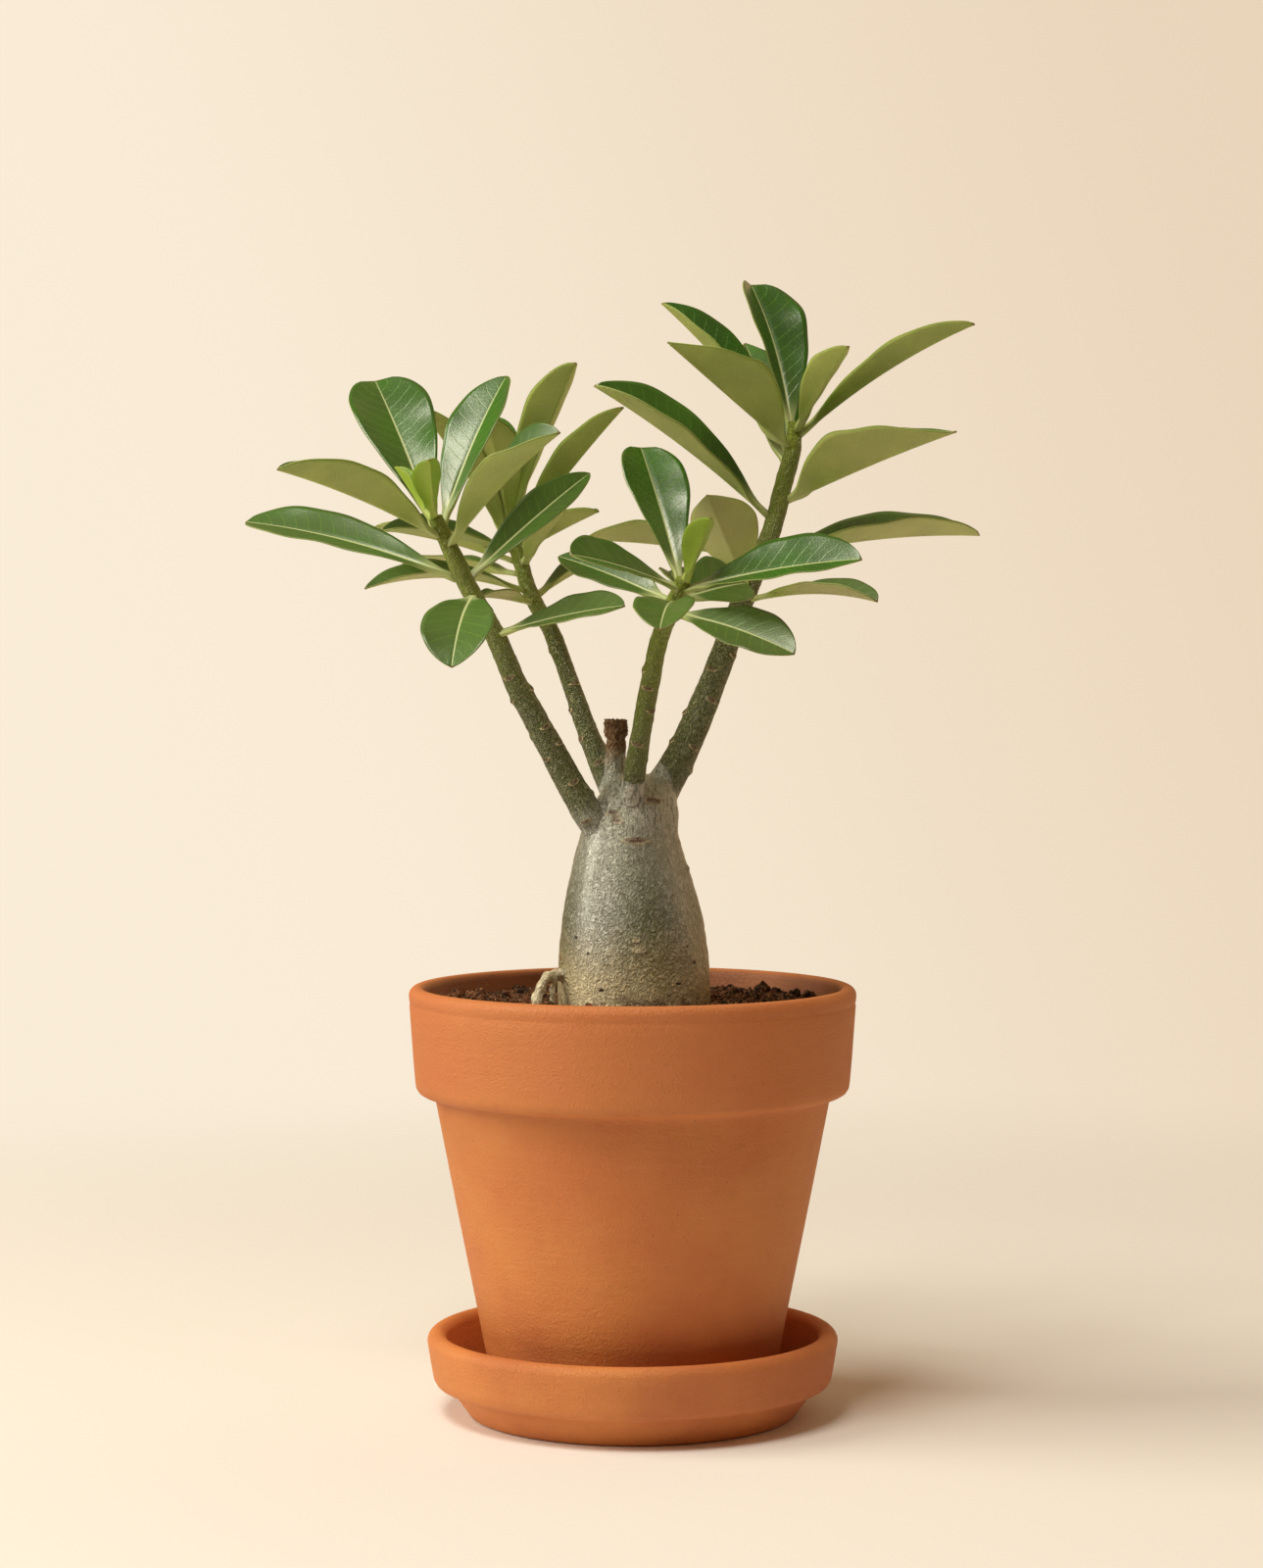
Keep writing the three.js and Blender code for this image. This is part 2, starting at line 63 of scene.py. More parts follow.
def turned(name, rings, through=False):
    """Clay drawn up on the wheel through rings of (radius, height), round a hole if it goes through."""
    bpy.ops.object.select_all(action="DESELECT")
    radius, height = rings[0]
    bpy.ops.mesh.primitive_circle_add(
        vertices=WHEEL_FACETS, radius=radius * mm, fill_type="NOTHING" if through else "NGON"
    )
    piece = bpy.context.object
    piece.name = name
    bpy.ops.object.mode_set(mode="EDIT")
    bpy.ops.mesh.select_all(action="SELECT")
    bpy.ops.transform.translate(value=(0, 0, height * mm))
    for next_radius, next_height in rings[1:]:
        rise = (0, 0, (next_height - height) * mm)
        bpy.ops.mesh.extrude_region_move(TRANSFORM_OT_translate={"value": rise})
        growth = next_radius / radius
        bpy.ops.transform.resize(value=(growth, growth, 1))
        radius, height = next_radius, next_height
    bpy.ops.mesh.select_all(action="SELECT")
    bpy.ops.mesh.remove_doubles(threshold=0.005 * mm)
    bpy.ops.mesh.normals_make_consistent(inside=False)
    bpy.ops.object.mode_set(mode="OBJECT")
    bpy.ops.object.shade_smooth_by_angle(angle=math.radians(50))
    return piece


class Wire:
    """A socket of a finish's node tree. Sums on wires add the Math nodes that they need."""

    def __init__(self, socket):
        self.socket = socket

    def node(self, kind, settings=None, inputs=None, output=0):
        """Adds a node, sets its settings, then joins or fills its sockets, by name or number."""
        made = self.socket.id_data.nodes.new(kind)
        for name, value in (settings or {}).items():
            if name == "stops":
                for element, (place, colour) in zip(made.color_ramp.elements, value):
                    element.position, element.color = place, colour
            else:
                setattr(made, name, value)
        for key, value in (inputs or {}).items():
            if isinstance(value, Wire):
                self.socket.id_data.links.new(value.socket, made.inputs[key])
            else:
                made.inputs[key].default_value = value
        return Wire(made.outputs[output])

    def math(self, operation, *values):
        return self.node("ShaderNodeMath", {"operation": operation}, dict(enumerate(values)))

    def __add__(self, other):
        return self.math("ADD", self, other)

    def __sub__(self, other):
        return self.math("SUBTRACT", self, other)

    def __mul__(self, other):
        return self.math("MULTIPLY", self, other)

    def __rsub__(self, other):
        return self.math("SUBTRACT", other, self)

    __radd__ = __add__
    __rmul__ = __mul__

    def over(self, low, high):
        """0 below one value and 1 above the other, or the other way round, with a soft step."""
        low, high, start, end = (low, high, 0, 1) if low < high else (high, low, 1, 0)
        limits = {"Value": self, "From Min": low, "From Max": high, "To Min": start, "To Max": end}
        return self.node("ShaderNodeMapRange", {"interpolation_type": "SMOOTHSTEP"}, limits)

    def stretched(self, *scale):
        return self.node("ShaderNodeVectorMath", {"operation": "MULTIPLY"}, {0: self, 1: scale})

    def noise(self, scale, detail=2, roughness=0.5, distortion=0):
        inputs = {"Vector": self, "Scale": scale, "Detail": detail}
        inputs.update({"Roughness": roughness, "Distortion": distortion})
        return self.node("ShaderNodeTexNoise", None, inputs)

    def cells(self, scale, feature="F1", output="Distance"):
        inputs = {"Vector": self, "Scale": scale}
        return self.node("ShaderNodeTexVoronoi", {"feature": feature}, inputs, output)

    def tinted(self, other, share):
        """This colour turned into another one by a share."""
        mix = {"data_type": "RGBA", "clamp_factor": True}
        return self.node("ShaderNodeMix", mix, {0: share, 6: self, 7: other}, 2)

    def held(self, value):
        self.socket.default_value = value
        return self


class Finish:
    """A surface finish: one Principled shader, and wires for what its pattern follows."""

    def __init__(self, name, **constants):
        self.material = bpy.data.materials.new(name)
        self.material.use_nodes = True
        nodes = self.material.node_tree.nodes
        self.shader = nodes["Principled BSDF"]
        for socket, value in constants.items():
            self.shader.inputs[socket.replace("_", " ")].default_value = value
        self.place = Wire(nodes.new("ShaderNodeTexCoord").outputs["Object"])

    def colour(self, value):
        return self.place.node("ShaderNodeRGB").held(value)

    def attribute(self, name, output="Fac"):
        settings = {"attribute_name": name}
        return self.place.node("ShaderNodeAttribute", settings, output=output)

    def feed(self, **wires):
        for socket, wire in wires.items():
            target = self.shader.inputs[socket.replace("_", " ")]
            self.material.node_tree.links.new(wire.socket, target)

    def relief(self, height, depth, strength=1):
        """A bump of a depth in millimetres where the height goes from 0 to 1."""
        inputs = {"Height": height, "Distance": depth * mm, "Strength": strength}
        return self.place.node("ShaderNodeBump", None, inputs)


terracotta = Finish("fired_clay", Specular_IOR_Level=0.9)
spot = terracotta.place
height = spot.node("ShaderNodeSeparateXYZ", None, {0: spot}, 2)
warm = terracotta.colour(paint(208, 123, 53))
ruddy = terracotta.colour(paint(198, 107, 47))
deep = terracotta.colour(paint(164, 82, 34))
dust = terracotta.colour(paint(226, 156, 94))
band_red = terracotta.colour(paint(198, 107, 55))
pit_brown = terracotta.colour(paint(112, 62, 40))
damp_brown = terracotta.colour(paint(110, 58, 32))
BAND_FOOT, BAND_TOP = 104, 118
DAMP_FROM, DAMP_UNTIL = 100, 130
WALL_INSIDE, WALL_OUTSIDE = 69.5, 71
on_band = height.over(BAND_FOOT * mm, BAND_TOP * mm)
# Painted shade: the clay is darker low down, on the foot of the pot and on the saucer, where the pot
# stands in the saucer.
saucer_shade = height.over(50 * mm, 18 * mm)
clouds = spot.noise(22, 3).over(0.36, 0.68)
streaks = spot.stretched(0.1, 0.1, 1).noise(520, 3).over(0.42, 0.7)
mottle = spot.noise(150, 4, 0.6).over(0.5, 0.78)
grit = spot.noise(1200, 4, 0.65).over(0.35, 0.72)
pits = spot.noise(170, 1).over(0.6, 0.7) * spot.cells(520).over(0.16, 0.07)
clay = warm.tinted(ruddy, clouds * 0.8).tinted(dust, streaks * 0.06).tinted(deep, mottle * 0.16)
# The second tint here paints that shade, in patches.
clay = clay.tinted(band_red, on_band * 0.5).tinted(deep, saucer_shade * clouds * 0.4)
clay = clay.tinted(pit_brown, pits * 0.75).tinted(dust, grit * 0.12)
flat_spot = spot.stretched(1, 1, 0)
from_axis = spot.node("ShaderNodeVectorMath", {"operation": "LENGTH"}, {0: flat_spot}, 1)
inside = from_axis.over(WALL_OUTSIDE * mm, WALL_INSIDE * mm)
stained = height.over(DAMP_FROM * mm, DAMP_UNTIL * mm) * inside * (0.5 + 0.3 * clouds)
clay = clay.tinted(damp_brown, stained)
terracotta.feed(
    Base_Color=clay,
    Roughness=0.6 + grit * 0.16 + clouds * 0.06,
    Normal=terracotta.relief(grit * 0.6 + streaks * 0.2 - pits * 0.9 + mottle * 0.3, 0.22, 0.9),
)

SAUCER_FLOOR = 6.5
SAUCER_LIP, SAUCER_LIP_RADIUS = (65.7, 24.5), 3.3
LIP_STEPS = 14
saucer = turned(
    "saucer_dish",
    [
        (54.2, 0),
        (55.1, 0.3),
        (55.7, 1.2),
        (60.6, 7.8),
        (61.2, 9.2),
        (62.4, 9.95),
        (64.6, 10.2),
        (66.1, 10.7),
        (66.9, 12.1),
        (67.4, 14.5),
        (68.3, 20),
        *rounded(SAUCER_LIP, SAUCER_LIP_RADIUS, 0, 180, LIP_STEPS),
        (61.2, 20),
        (59.2, 10.4),
        (58.7, 8.3),
        (57.6, 7),
        (55.6, SAUCER_FLOOR),
        (30, SAUCER_FLOOR),
    ],
)
saucer.data.materials.append(terracotta.material)
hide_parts("saucer")
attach(saucer, "root")


# ---------------------------------------------------------------- Pot
# The pot is a tapered pot of the same red clay with a deep band round its rim, a fine line
# turned into the band under the lip, and a drainage hole. It stands in the saucer.

POT_FOOT = 6.8
POT_FLOOR = 14.8
POT_LIP, POT_LIP_RADIUS = (72.1, 140.7), 2.9
DRAIN_RADIUS = 6
pot = turned(
    "pot_body",
    [
        (DRAIN_RADIUS, POT_FOOT),
        (30, POT_FOOT),
        (45.4, POT_FOOT),
        (46.4, 7.1),
        (47, 8.2),
        (53.2, 40),
        (59.6, 72),
        (65.9, 104.4),
        (66.2, 106.2),
        (67, 107.2),
        (68.6, 107.6),
        (70.6, 107.8),
        (71.8, 108.5),
        (72.6, 109.8),
        (72.9, 111.8),
        (73.6, 120),
        (74.5, 133),
        (74.8, 137.2),
        (74.68, 137.8),
        (74.66, 138.3),
        (74.85, 138.9),
        *rounded(POT_LIP, POT_LIP_RADIUS, 0, 180, LIP_STEPS),
        (63.6, 114),
        (52, 62),
        (41.9, 18.4),
        (41, 16.2),
        (38.6, POT_FLOOR),
        (DRAIN_RADIUS, POT_FLOOR),
        (DRAIN_RADIUS, POT_FOOT),
    ],
    through=True,
)
pot.data.materials.append(terracotta.material)
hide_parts("pot")
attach(pot, "root")


# ---------------------------------------------------------------- Soil
# The pot is filled with a dark crumbly mix of peat and bark. Its surface lies about seven
# millimetres under the lip, uneven, with loose crumbs, chips of bark and dry fibres on it.

SOIL_TOP = 137.2
SOIL_EDGE = 66  # how far out the loose bits lie
SOIL_RELIEF = [(14, 3.2), (4.5, 2.6), (1.8, 1.1)]  # [size, depth] of its unevenness
CRUMB_SIZES, CRUMBS_FROM, CRUMBS = (0.4, 1.5), 27, 1300
LUMP_SIZES, LUMPS_FROM, LUMPS = (1.6, 3.2), 30, 90
CHIP_SIZES, CHIPS_FROM, CHIPS = (0.6, 1.5), 29, 44
CHIP_TILT = 0.08  # chips lie nearly flat
CRUMB_KINDS = 5
FIBRES, FIBRE_POINTS = 26, 9
FIBRE_STARTS = (26.5, 62)
FIBRE_RADII = (0.16, 0.34)
random.seed(11)


def named_copy(source, name):
    """A copy of a piece with a mesh of its own."""
    copy = source.copy()
    copy.data = source.data.copy()
    copy.name = name
    bpy.context.scene.collection.objects.link(copy)
    return copy


def joined(name, parts):
    """Makes one piece of several, with its origin at the origin of the frame."""
    bpy.ops.object.select_all(action="DESELECT")
    for part in parts:
        part.select_set(True)
    bpy.context.view_layer.objects.active = parts[0]
    bpy.ops.object.join()
    piece = bpy.context.object
    bpy.ops.object.transform_apply(location=True, rotation=True, scale=True)
    piece.name = name
    return piece


def applied(piece, kind, **settings):
    """Adds a modifier to a piece and applies it."""
    bpy.ops.object.select_all(action="DESELECT")
    piece.select_set(True)
    bpy.context.view_layer.objects.active = piece
    modifier = piece.modifiers.new(kind, kind)
    for name, value in settings.items():
        setattr(modifier, name, value)
    bpy.ops.object.modifier_apply(modifier=modifier.name)


def clouds_texture(size, depth=2):
    texture = bpy.data.textures.new("lumps", "CLOUDS")
    texture.noise_scale = size * mm
    texture.noise_depth = depth
    return texture


soil = turned(
    "potting_mix",
    [(37.6, 15.2), (40.8, 18.2), (66.9, 135.4), (67.5, 136.6), (66.6, SOIL_TOP)]
    + [(radius / 2, SOIL_TOP) for radius in range(130, 32, -3)],
)
surface = soil.vertex_groups.new(name="surface")
top = [v.index for v in soil.data.vertices if v.co.z > (SOIL_TOP - 0.1) * mm]
surface.add(top, 1, "REPLACE")
for size, depth in SOIL_RELIEF:
    applied(
        soil,
        "DISPLACE",
        texture=clouds_texture(size, 3),
        strength=depth * mm,
        mid_level=0.5,
        direction="Z",
        vertex_group="surface",
    )

crumb_kinds = []
for kind in range(CRUMB_KINDS):
    bpy.ops.object.select_all(action="DESELECT")
    bpy.ops.mesh.primitive_ico_sphere_add(subdivisions=1, radius=mm)
    crumb = bpy.context.object
    for corner in crumb.data.vertices:
        corner.co *= random.uniform(0.62, 1.2)
    crumb_kinds.append(crumb)
bpy.ops.object.select_all(action="DESELECT")
bpy.ops.mesh.primitive_ico_sphere_add(subdivisions=2, radius=mm)
lump = bpy.context.object
applied(lump, "DISPLACE", texture=clouds_texture(0.8, 3), strength=1.5 * mm, mid_level=0.5)

ground = BVHTree.FromObject(soil, bpy.context.evaluated_depsgraph_get())


def soil_height(x, y):
    place = ground.ray_cast(Vector((x, y, 0.2)), Vector((0, 0, -1)))[0]
    return place.z if place else SOIL_TOP * mm


def strewn(source, sizes, nearest):
    """A copy of a bit of the mix, turned at random and lying half sunk in the surface."""
    angle = random.uniform(0, math.tau)
    distance = random.uniform(nearest**2, SOIL_EDGE**2) ** 0.5 * mm
    x, y = distance * math.cos(angle), distance * math.sin(angle)
    size = random.uniform(*sizes) * random.uniform(0.7, 1)
    bit = named_copy(source, "bit")
    bit.location = (x, y, soil_height(x, y) + 0.25 * size * mm)
    bit.rotation_euler = [random.uniform(0, math.tau) for _ in range(3)]
    bit.scale = [size, size * random.uniform(0.75, 1.1), size * random.uniform(0.6, 0.95)]
    return bit


crumbs = [strewn(random.choice(crumb_kinds), CRUMB_SIZES, CRUMBS_FROM) for _ in range(CRUMBS)]
lumps = [strewn(lump, LUMP_SIZES, LUMPS_FROM) for _ in range(LUMPS)]
crumbs = joined("soil_crumbs", crumbs + lumps)
for spare in [*crumb_kinds, lump]:
    bpy.data.objects.remove(spare)

bpy.ops.object.select_all(action="DESELECT")
bpy.ops.mesh.primitive_cube_add(size=mm, scale=(1.5, 4, 0.6))
chip = bpy.context.object
bpy.ops.object.transform_apply(scale=True)
applied(chip, "BEVEL", width=0.2 * mm, segments=1)
applied(chip, "SUBSURF", levels=1, render_levels=1, subdivision_type="SIMPLE")
applied(chip, "DISPLACE", texture=clouds_texture(0.9, 2), strength=0.5 * mm, mid_level=0.5)
chips = [strewn(chip, CHIP_SIZES, CHIPS_FROM) for _ in range(CHIPS)]
for piece in chips:
    piece.rotation_euler.x *= CHIP_TILT
    piece.rotation_euler.y *= CHIP_TILT
chips = joined("bark_chips", chips)
bpy.data.objects.remove(chip)


def strand(name, points, thickness):
    """A round strand through points in millimetres, as a mesh. Its thickness may differ at each."""
    curve = bpy.data.curves.new(name, "CURVE")
    curve.dimensions = "3D"
    curve.bevel_depth = mm
    curve.bevel_resolution = 4
    curve.use_fill_caps = True
    line = curve.splines.new("POLY")
    line.points.add(len(points) - 1)
    for point, place, radius in zip(line.points, points, thickness):
        point.co = (*(c * mm for c in place), 1)
        point.radius = radius
    piece = bpy.data.objects.new(name, curve)
    bpy.context.scene.collection.objects.link(piece)
    bpy.ops.object.select_all(action="DESELECT")
    piece.select_set(True)
    bpy.context.view_layer.objects.active = piece
    bpy.ops.object.convert(target="MESH")
    return bpy.context.object


fibres = []
for number in range(FIBRES):
    angle = random.uniform(0, math.tau)
    distance = random.uniform(*FIBRE_STARTS)
    heading = random.uniform(0, math.tau)
    place = Vector((distance * math.cos(angle), distance * math.sin(angle), 0))
    points = []
    for step in range(FIBRE_POINTS):
        height = soil_height(place.x * mm, place.y * mm) / mm
        points.append((place.x, place.y, height + 0.35 + 0.3 * math.sin(step)))
        heading += random.uniform(-0.5, 0.5)
        place += Vector((math.cos(heading), math.sin(heading), 0)) * random.uniform(0.9, 1.7)
        if place.length > SOIL_EDGE:
            place *= SOIL_EDGE / place.length
    fibres.append(strand("fibre", points, [random.uniform(*FIBRE_RADII)] * len(points)))
fibres = joined("dry_fibres", fibres)

peat = Finish("peat_mix", Specular_IOR_Level=0.25)
spot = peat.place
crumbling = spot.noise(900, 4, 0.65)
damp = spot.noise(240, 2).over(0.4, 0.6)
dry_brown = peat.colour(paint(106, 67, 46))
wet_brown = peat.colour(paint(48, 30, 23))
# Lighter brown flecks: partly paler crumbs, partly painted highlights on the crumbs.
crumb_and_highlight_brown = peat.colour(paint(196, 146, 106))
earth = dry_brown.tinted(wet_brown, damp)
# The flecks: paler crumbs with painted highlights.
earth = earth.tinted(crumb_and_highlight_brown, crumbling.over(0.52, 0.68) * 0.85)
peat.feed(
    Base_Color=earth,
    Roughness=0.82 + crumbling * 0.15,
    Normal=peat.relief(crumbling, 0.9, 0.9),
)
for piece in (soil, crumbs):
    piece.data.materials.clear()
    piece.data.materials.append(peat.material)

husk = Finish("bark_and_fibre", Specular_IOR_Level=0.25)
grain = husk.place.noise(1500, 3, 0.6)
weathered = husk.colour(paint(92, 60, 40))
tan = husk.colour(paint(150, 112, 76)).tinted(weathered, grain.over(0.4, 0.65))
husk.feed(Base_Color=tan, Roughness=0.8 + grain * 0.15, Normal=husk.relief(grain, 0.3, 0.8))
for piece in (chips, fibres):
    piece.data.materials.clear()
    piece.data.materials.append(husk.material)

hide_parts("soil")
for piece in (soil, crumbs, chips, fibres):
    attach(piece, "root")


# ---------------------------------------------------------------- Trunk
# The trunk is one grown piece: a swollen silvery base, four green branches with the scars of
# fallen leaves, the brown stub of a branch that was cut, and roots that loop into the soil.
# Rows are [right, back, up, radius] from the foot of a branch or a root to its end.

# The swollen base: [radius, height, shift of its centre to the right]
CAUDEX = [
    (8, 108, 0), (16.5, 112, 0), (22.5, 121, 0), (25.2, 131, 0), (25.7, 140, 0),
    (25.3, 154, -0.2), (23.8, 166, -0.7), (21.5, 176, -1), (18.4, 187, -1.5),
    (16.1, 195, -1.4), (14.6, 202, 0.6), (12.6, 209, 1.6), (8, 215, 1),
]
BRANCHES = {
    "left": [
        (-4, -3, 186, 5.5), (-14.5, -8, 201, 5.3), (-21.7, -10, 213.5, 4.8),
        (-32.9, -14, 234.4, 4.2), (-38.2, -16, 244, 3.9), (-44.8, -19, 260, 3.5),
        (-53.9, -22, 276.6, 3.2), (-59.2, -24, 288, 3), (-64.6, -26.5, 299.5, 2.5),
    ],
    "back": [
        (-2, 1, 196, 4.6), (-7.8, 6, 211, 4.4), (-14.1, 10, 226, 3.7), (-20.8, 17, 244, 3.1),
        (-27, 25, 260.5, 3), (-35.6, 34, 277, 2.9), (-39.5, 40, 290, 2.8), (-43.4, 45, 303, 2.4),
    ],
    "front": [
        (-1, -6, 197, 4.4), (0, -14, 211.7, 4), (2.2, -21, 225, 3.5), (5.5, -29, 244, 3.3),
        (9.2, -36, 261, 3.1), (14, -41, 272, 3), (16.5, -44, 279, 2.5),
    ],
    "right": [
        (3, 1, 193, 6.5), (8.7, 2, 207, 6.3), (17.2, 4, 222.6, 5.4), (26.5, 8, 244, 4.8),
        (37.2, 12, 272.7, 3.9), (46.9, 15, 296, 3.3), (51.3, 17, 312.6, 3.2),
        (54.3, 18, 324, 3), (55, 19, 333.5, 2.5),
    ],
}
CUT_STUB = [
    (-4.5, 2, 206, 4.4), (-5.4, 3, 216, 3.7), (-5.6, 3, 225.5, 3.3), (-5.6, 3, 227, 3.8),
    (-5.6, 3, 232.5, 3.9),
]
ROOTS = [
    [
        (-18, -7, 145, 2.3), (-22.5, -10, 147.6, 2), (-25.9, -12, 148.4, 1.8), (-28, -14, 148, 1.75),
        (-29.6, -15.6, 146.1, 1.75), (-30.6, -16.5, 143.6, 1.8), (-31.7, -17.5, 140, 1.85),
        (-32.4, -18.2, 131, 1.9),
    ],
    [
        (-25.2, -12, 148, 1.2), (-26.2, -13, 146, 1), (-26.5, -13.4, 143, 0.95),
        (-26.6, -13.8, 134, 0.95),
    ],
]


class Limb:
    """The line of a branch through its rows, with its length and its radius all the way."""

    STEPS = 240

    def __init__(self, rows):
        self.rows = rows
        corners = [Vector(row[:3]) for row in rows]
        corners = [2 * corners[0] - corners[1], *corners, 2 * corners[-1] - corners[-2]]
        spans = len(rows) - 1
        self.points, self.radii = [], []
        for step in range(self.STEPS + 1):
            place = step / self.STEPS * spans
            span = min(int(place), spans - 1)
            self.points.append(self.between(corners[span:span + 4], place - span))
            share = place - span
            self.radii.append(rows[span][3] * (1 - share) + rows[span + 1][3] * share)
        self.reach = [0]
        for before, after in zip(self.points, self.points[1:]):
            self.reach.append(self.reach[-1] + (after - before).length)
        self.length = self.reach[-1]

    @staticmethod
    def between(corners, share):
        """A point on a smooth line through the two middle corners of four."""
        gaps = [(after - before).length ** 0.5 for before, after in zip(corners, corners[1:])]
        a, b, c, d = corners
        leave = ((b - a) / gaps[0] - (c - a) / (gaps[0] + gaps[1]) + (c - b) / gaps[1]) * gaps[1]
        reach = ((c - b) / gaps[1] - (d - b) / (gaps[1] + gaps[2]) + (d - c) / gaps[2]) * gaps[1]
        return (
            (2 * share**3 - 3 * share**2 + 1) * b
            + (share**3 - 2 * share**2 + share) * leave
            + (3 * share**2 - 2 * share**3) * c
            + (share**3 - share**2) * reach
        )

    def at(self, distance):
        """The point, the direction and the radius at a distance from the foot."""
        distance = min(max(distance, 0), self.length)
        step = int(np.searchsorted(self.reach, distance, side="right")) - 1
        step = min(step, self.STEPS - 1)
        share = (distance - self.reach[step]) / (self.reach[step + 1] - self.reach[step])
        direction = (self.points[step + 1] - self.points[step]).normalized()
        radius = self.radii[step] * (1 - share) + self.radii[step + 1] * share
        return self.points[step].lerp(self.points[step + 1], share), direction, radius

    def bark_point(self, distance, heading, proud=0):
        """A point on the bark at a compass heading round the branch, and the way out of it."""
        point, direction, radius = self.at(distance)
        out = Vector((math.cos(math.radians(heading)), math.sin(math.radians(heading)), 0))
        out = (out - direction * out.dot(direction)).normalized()
        return point + out * (radius + proud), out


limbs = {name: Limb(rows) for name, rows in BRANCHES.items()}
stub = Limb(CUT_STUB)
roots = [Limb(rows) for rows in ROOTS]

# Scars of fallen leaves, branch by branch: [distance below the tip, compass heading]
LEAF_SCARS = {
    "left": [
        (78, 302), (85, 332), (65, 2), (88, 221), (99, 289), (66, 189), (112, 245), (94, 60),
        (72, 110), (80, 160), (58, 250), (101, 150), (106, 20),
    ],
    "back": [(78, 180), (89, 201), (99, 264), (70, 300), (62, 60), (84, 90), (94, 20), (54, 150)],
    "front": [(39, 257), (59, 253), (47, 311), (53, 120), (43, 60), (34, 180), (66, 30)],
    "right": [
        (100, 293), (117, 306), (124, 0), (107, 194), (118, 199), (90, 240), (83, 330), (94, 80),
        (108, 60), (77, 150), (122, 110), (70, 275),
    ],
}
LEAF_SCAR_WIDTH = 1.9
LEAF_SCAR_HEIGHT = 1.05
CUSHION_WIDTH, CUSHION_HEIGHT = 1.75, 1.25  # of the bump that a scar sits on, as half sizes
CUSHION_SINK = 0.35
THREE_LOBES, FIVE_LOBES, NINE_LOBES = 0.014, 0.012, 0.008  # shares of the base's radius
BARK_GRAIN = 0.62  # the smallest form that the bark's mesh holds
BARK_UNEVENNESS = [(9, 0.7), (2.2, 0.3)]  # [size, depth]

caudex = turned("trunk", [(r, z) for r, z, _ in CAUDEX])
applied(caudex, "SUBSURF", levels=2, render_levels=2)
heights = [z for _, z, _ in CAUDEX]
shifts = [x for _, _, x in CAUDEX]
for corner in caudex.data.vertices:
    x, y, z = corner.co
    angle = math.atan2(y, x)
    swell = 1 + THREE_LOBES * math.cos(3 * angle + 0.6)
    swell += FIVE_LOBES * math.cos(5 * angle + z / 0.03)
    swell += NINE_LOBES * math.sin(9 * angle + z / 0.02)
    corner.co = (x * swell + float(np.interp(z / mm, heights, shifts)) * mm, y * swell, z)
pieces = [caudex]
for limb in [*limbs.values(), stub, *roots]:
    pieces.append(strand("limb", limb.points[::3], limb.radii[::3]))

bpy.ops.object.select_all(action="DESELECT")
bpy.ops.mesh.primitive_uv_sphere_add(segments=14, ring_count=8, radius=mm)
cushion = bpy.context.object
for corner in cushion.data.vertices:
    corner.co.z *= 0.95 - 0.25 * corner.co.y / mm
    corner.co.y *= CUSHION_HEIGHT
    corner.co.x *= CUSHION_WIDTH
scars = []
for name, spots in LEAF_SCARS.items():
    for below, heading in spots:
        limb = limbs[name]
        place, out = limb.bark_point(limb.length - below, heading)
        _, upward, _ = limb.at(limb.length - below)
        side = upward.cross(out).normalized()
        scars.append((place, side, upward, LEAF_SCAR_WIDTH, LEAF_SCAR_HEIGHT, 0))
        bump = named_copy(cushion, "cushion")
        turn = Matrix((side, upward, out)).transposed().to_4x4()
        bump.matrix_world = Matrix.Translation((place - CUSHION_SINK * out) * mm) @ turn
        pieces.append(bump)
bpy.data.objects.remove(cushion)
trunk = joined("trunk_and_branches", pieces)
applied(trunk, "REMESH", mode="VOXEL", voxel_size=BARK_GRAIN * mm)
applied(trunk, "SMOOTH", factor=0.6, iterations=5)
for size, depth in BARK_UNEVENNESS:
    bumps = clouds_texture(size, 2)
    applied(trunk, "DISPLACE", texture=bumps, strength=depth * mm, mid_level=0.5)

# Marks of the swollen base: [compass heading, height, half width, half height, depth, kind],
# of the kinds long scar (1), pale scab (2) and dark spot (3)
BASE_SCARS = [
    (280, 193, 4.6, 1.25, 0.5, 1), (276, 157.2, 2.1, 0.9, -0.6, 2), (274, 160.6, 1.1, 0.9, -0.4, 2),
    (294, 206.5, 3, 1.4, 0.4, 1), (303, 206, 1.3, 1.3, 0.3, 1), (247, 144, 1.3, 0.8, 0.7, 3),
    (307, 146, 1.4, 0.6, 0.5, 3), (240, 202, 2.6, 1.1, 0.35, 1), (250, 199.5, 2.2, 1, 0.35, 1),
    (222, 161, 1.6, 0.8, 0.4, 3), (200, 153.5, 1.6, 1.6, -0.4, 1), (350, 183, 1.2, 1, -0.7, 3),
    (35, 178, 4.4, 1.4, 0.5, 1), (110, 190, 4, 1.4, 0.45, 1), (150, 165, 1.8, 1, -0.5, 2),
    (75, 150, 1.6, 0.9, 0.5, 3), (324, 152.5, 1.2, 0.8, 0.4, 3), (5, 160, 2, 1.1, 0.4, 1),
    (236, 156, 0.7, 0.7, 0.3, 3), (318, 158, 0.7, 0.5, 0.3, 3), (262, 150, 0.6, 0.4, 0.3, 3),
    (250, 214.5, 3.2, 1.2, 0.4, 1), (268, 213, 2.6, 1, 0.4, 3), (175, 200, 3, 1.2, 0.4, 1),
]
for heading, height, wide, tall, depth, kind in BASE_SCARS:
    angle = math.radians(heading)
    out = Vector((math.cos(angle), math.sin(angle), 0))
    radius = float(np.interp(height, heights, [r for r, _, _ in CAUDEX]))
    place = out * radius + Vector((float(np.interp(height, heights, shifts)), 0, height))
    scars.append((place, Vector((out.y, -out.x, 0)), Vector((0, 0, 1)), wide, tall, kind))

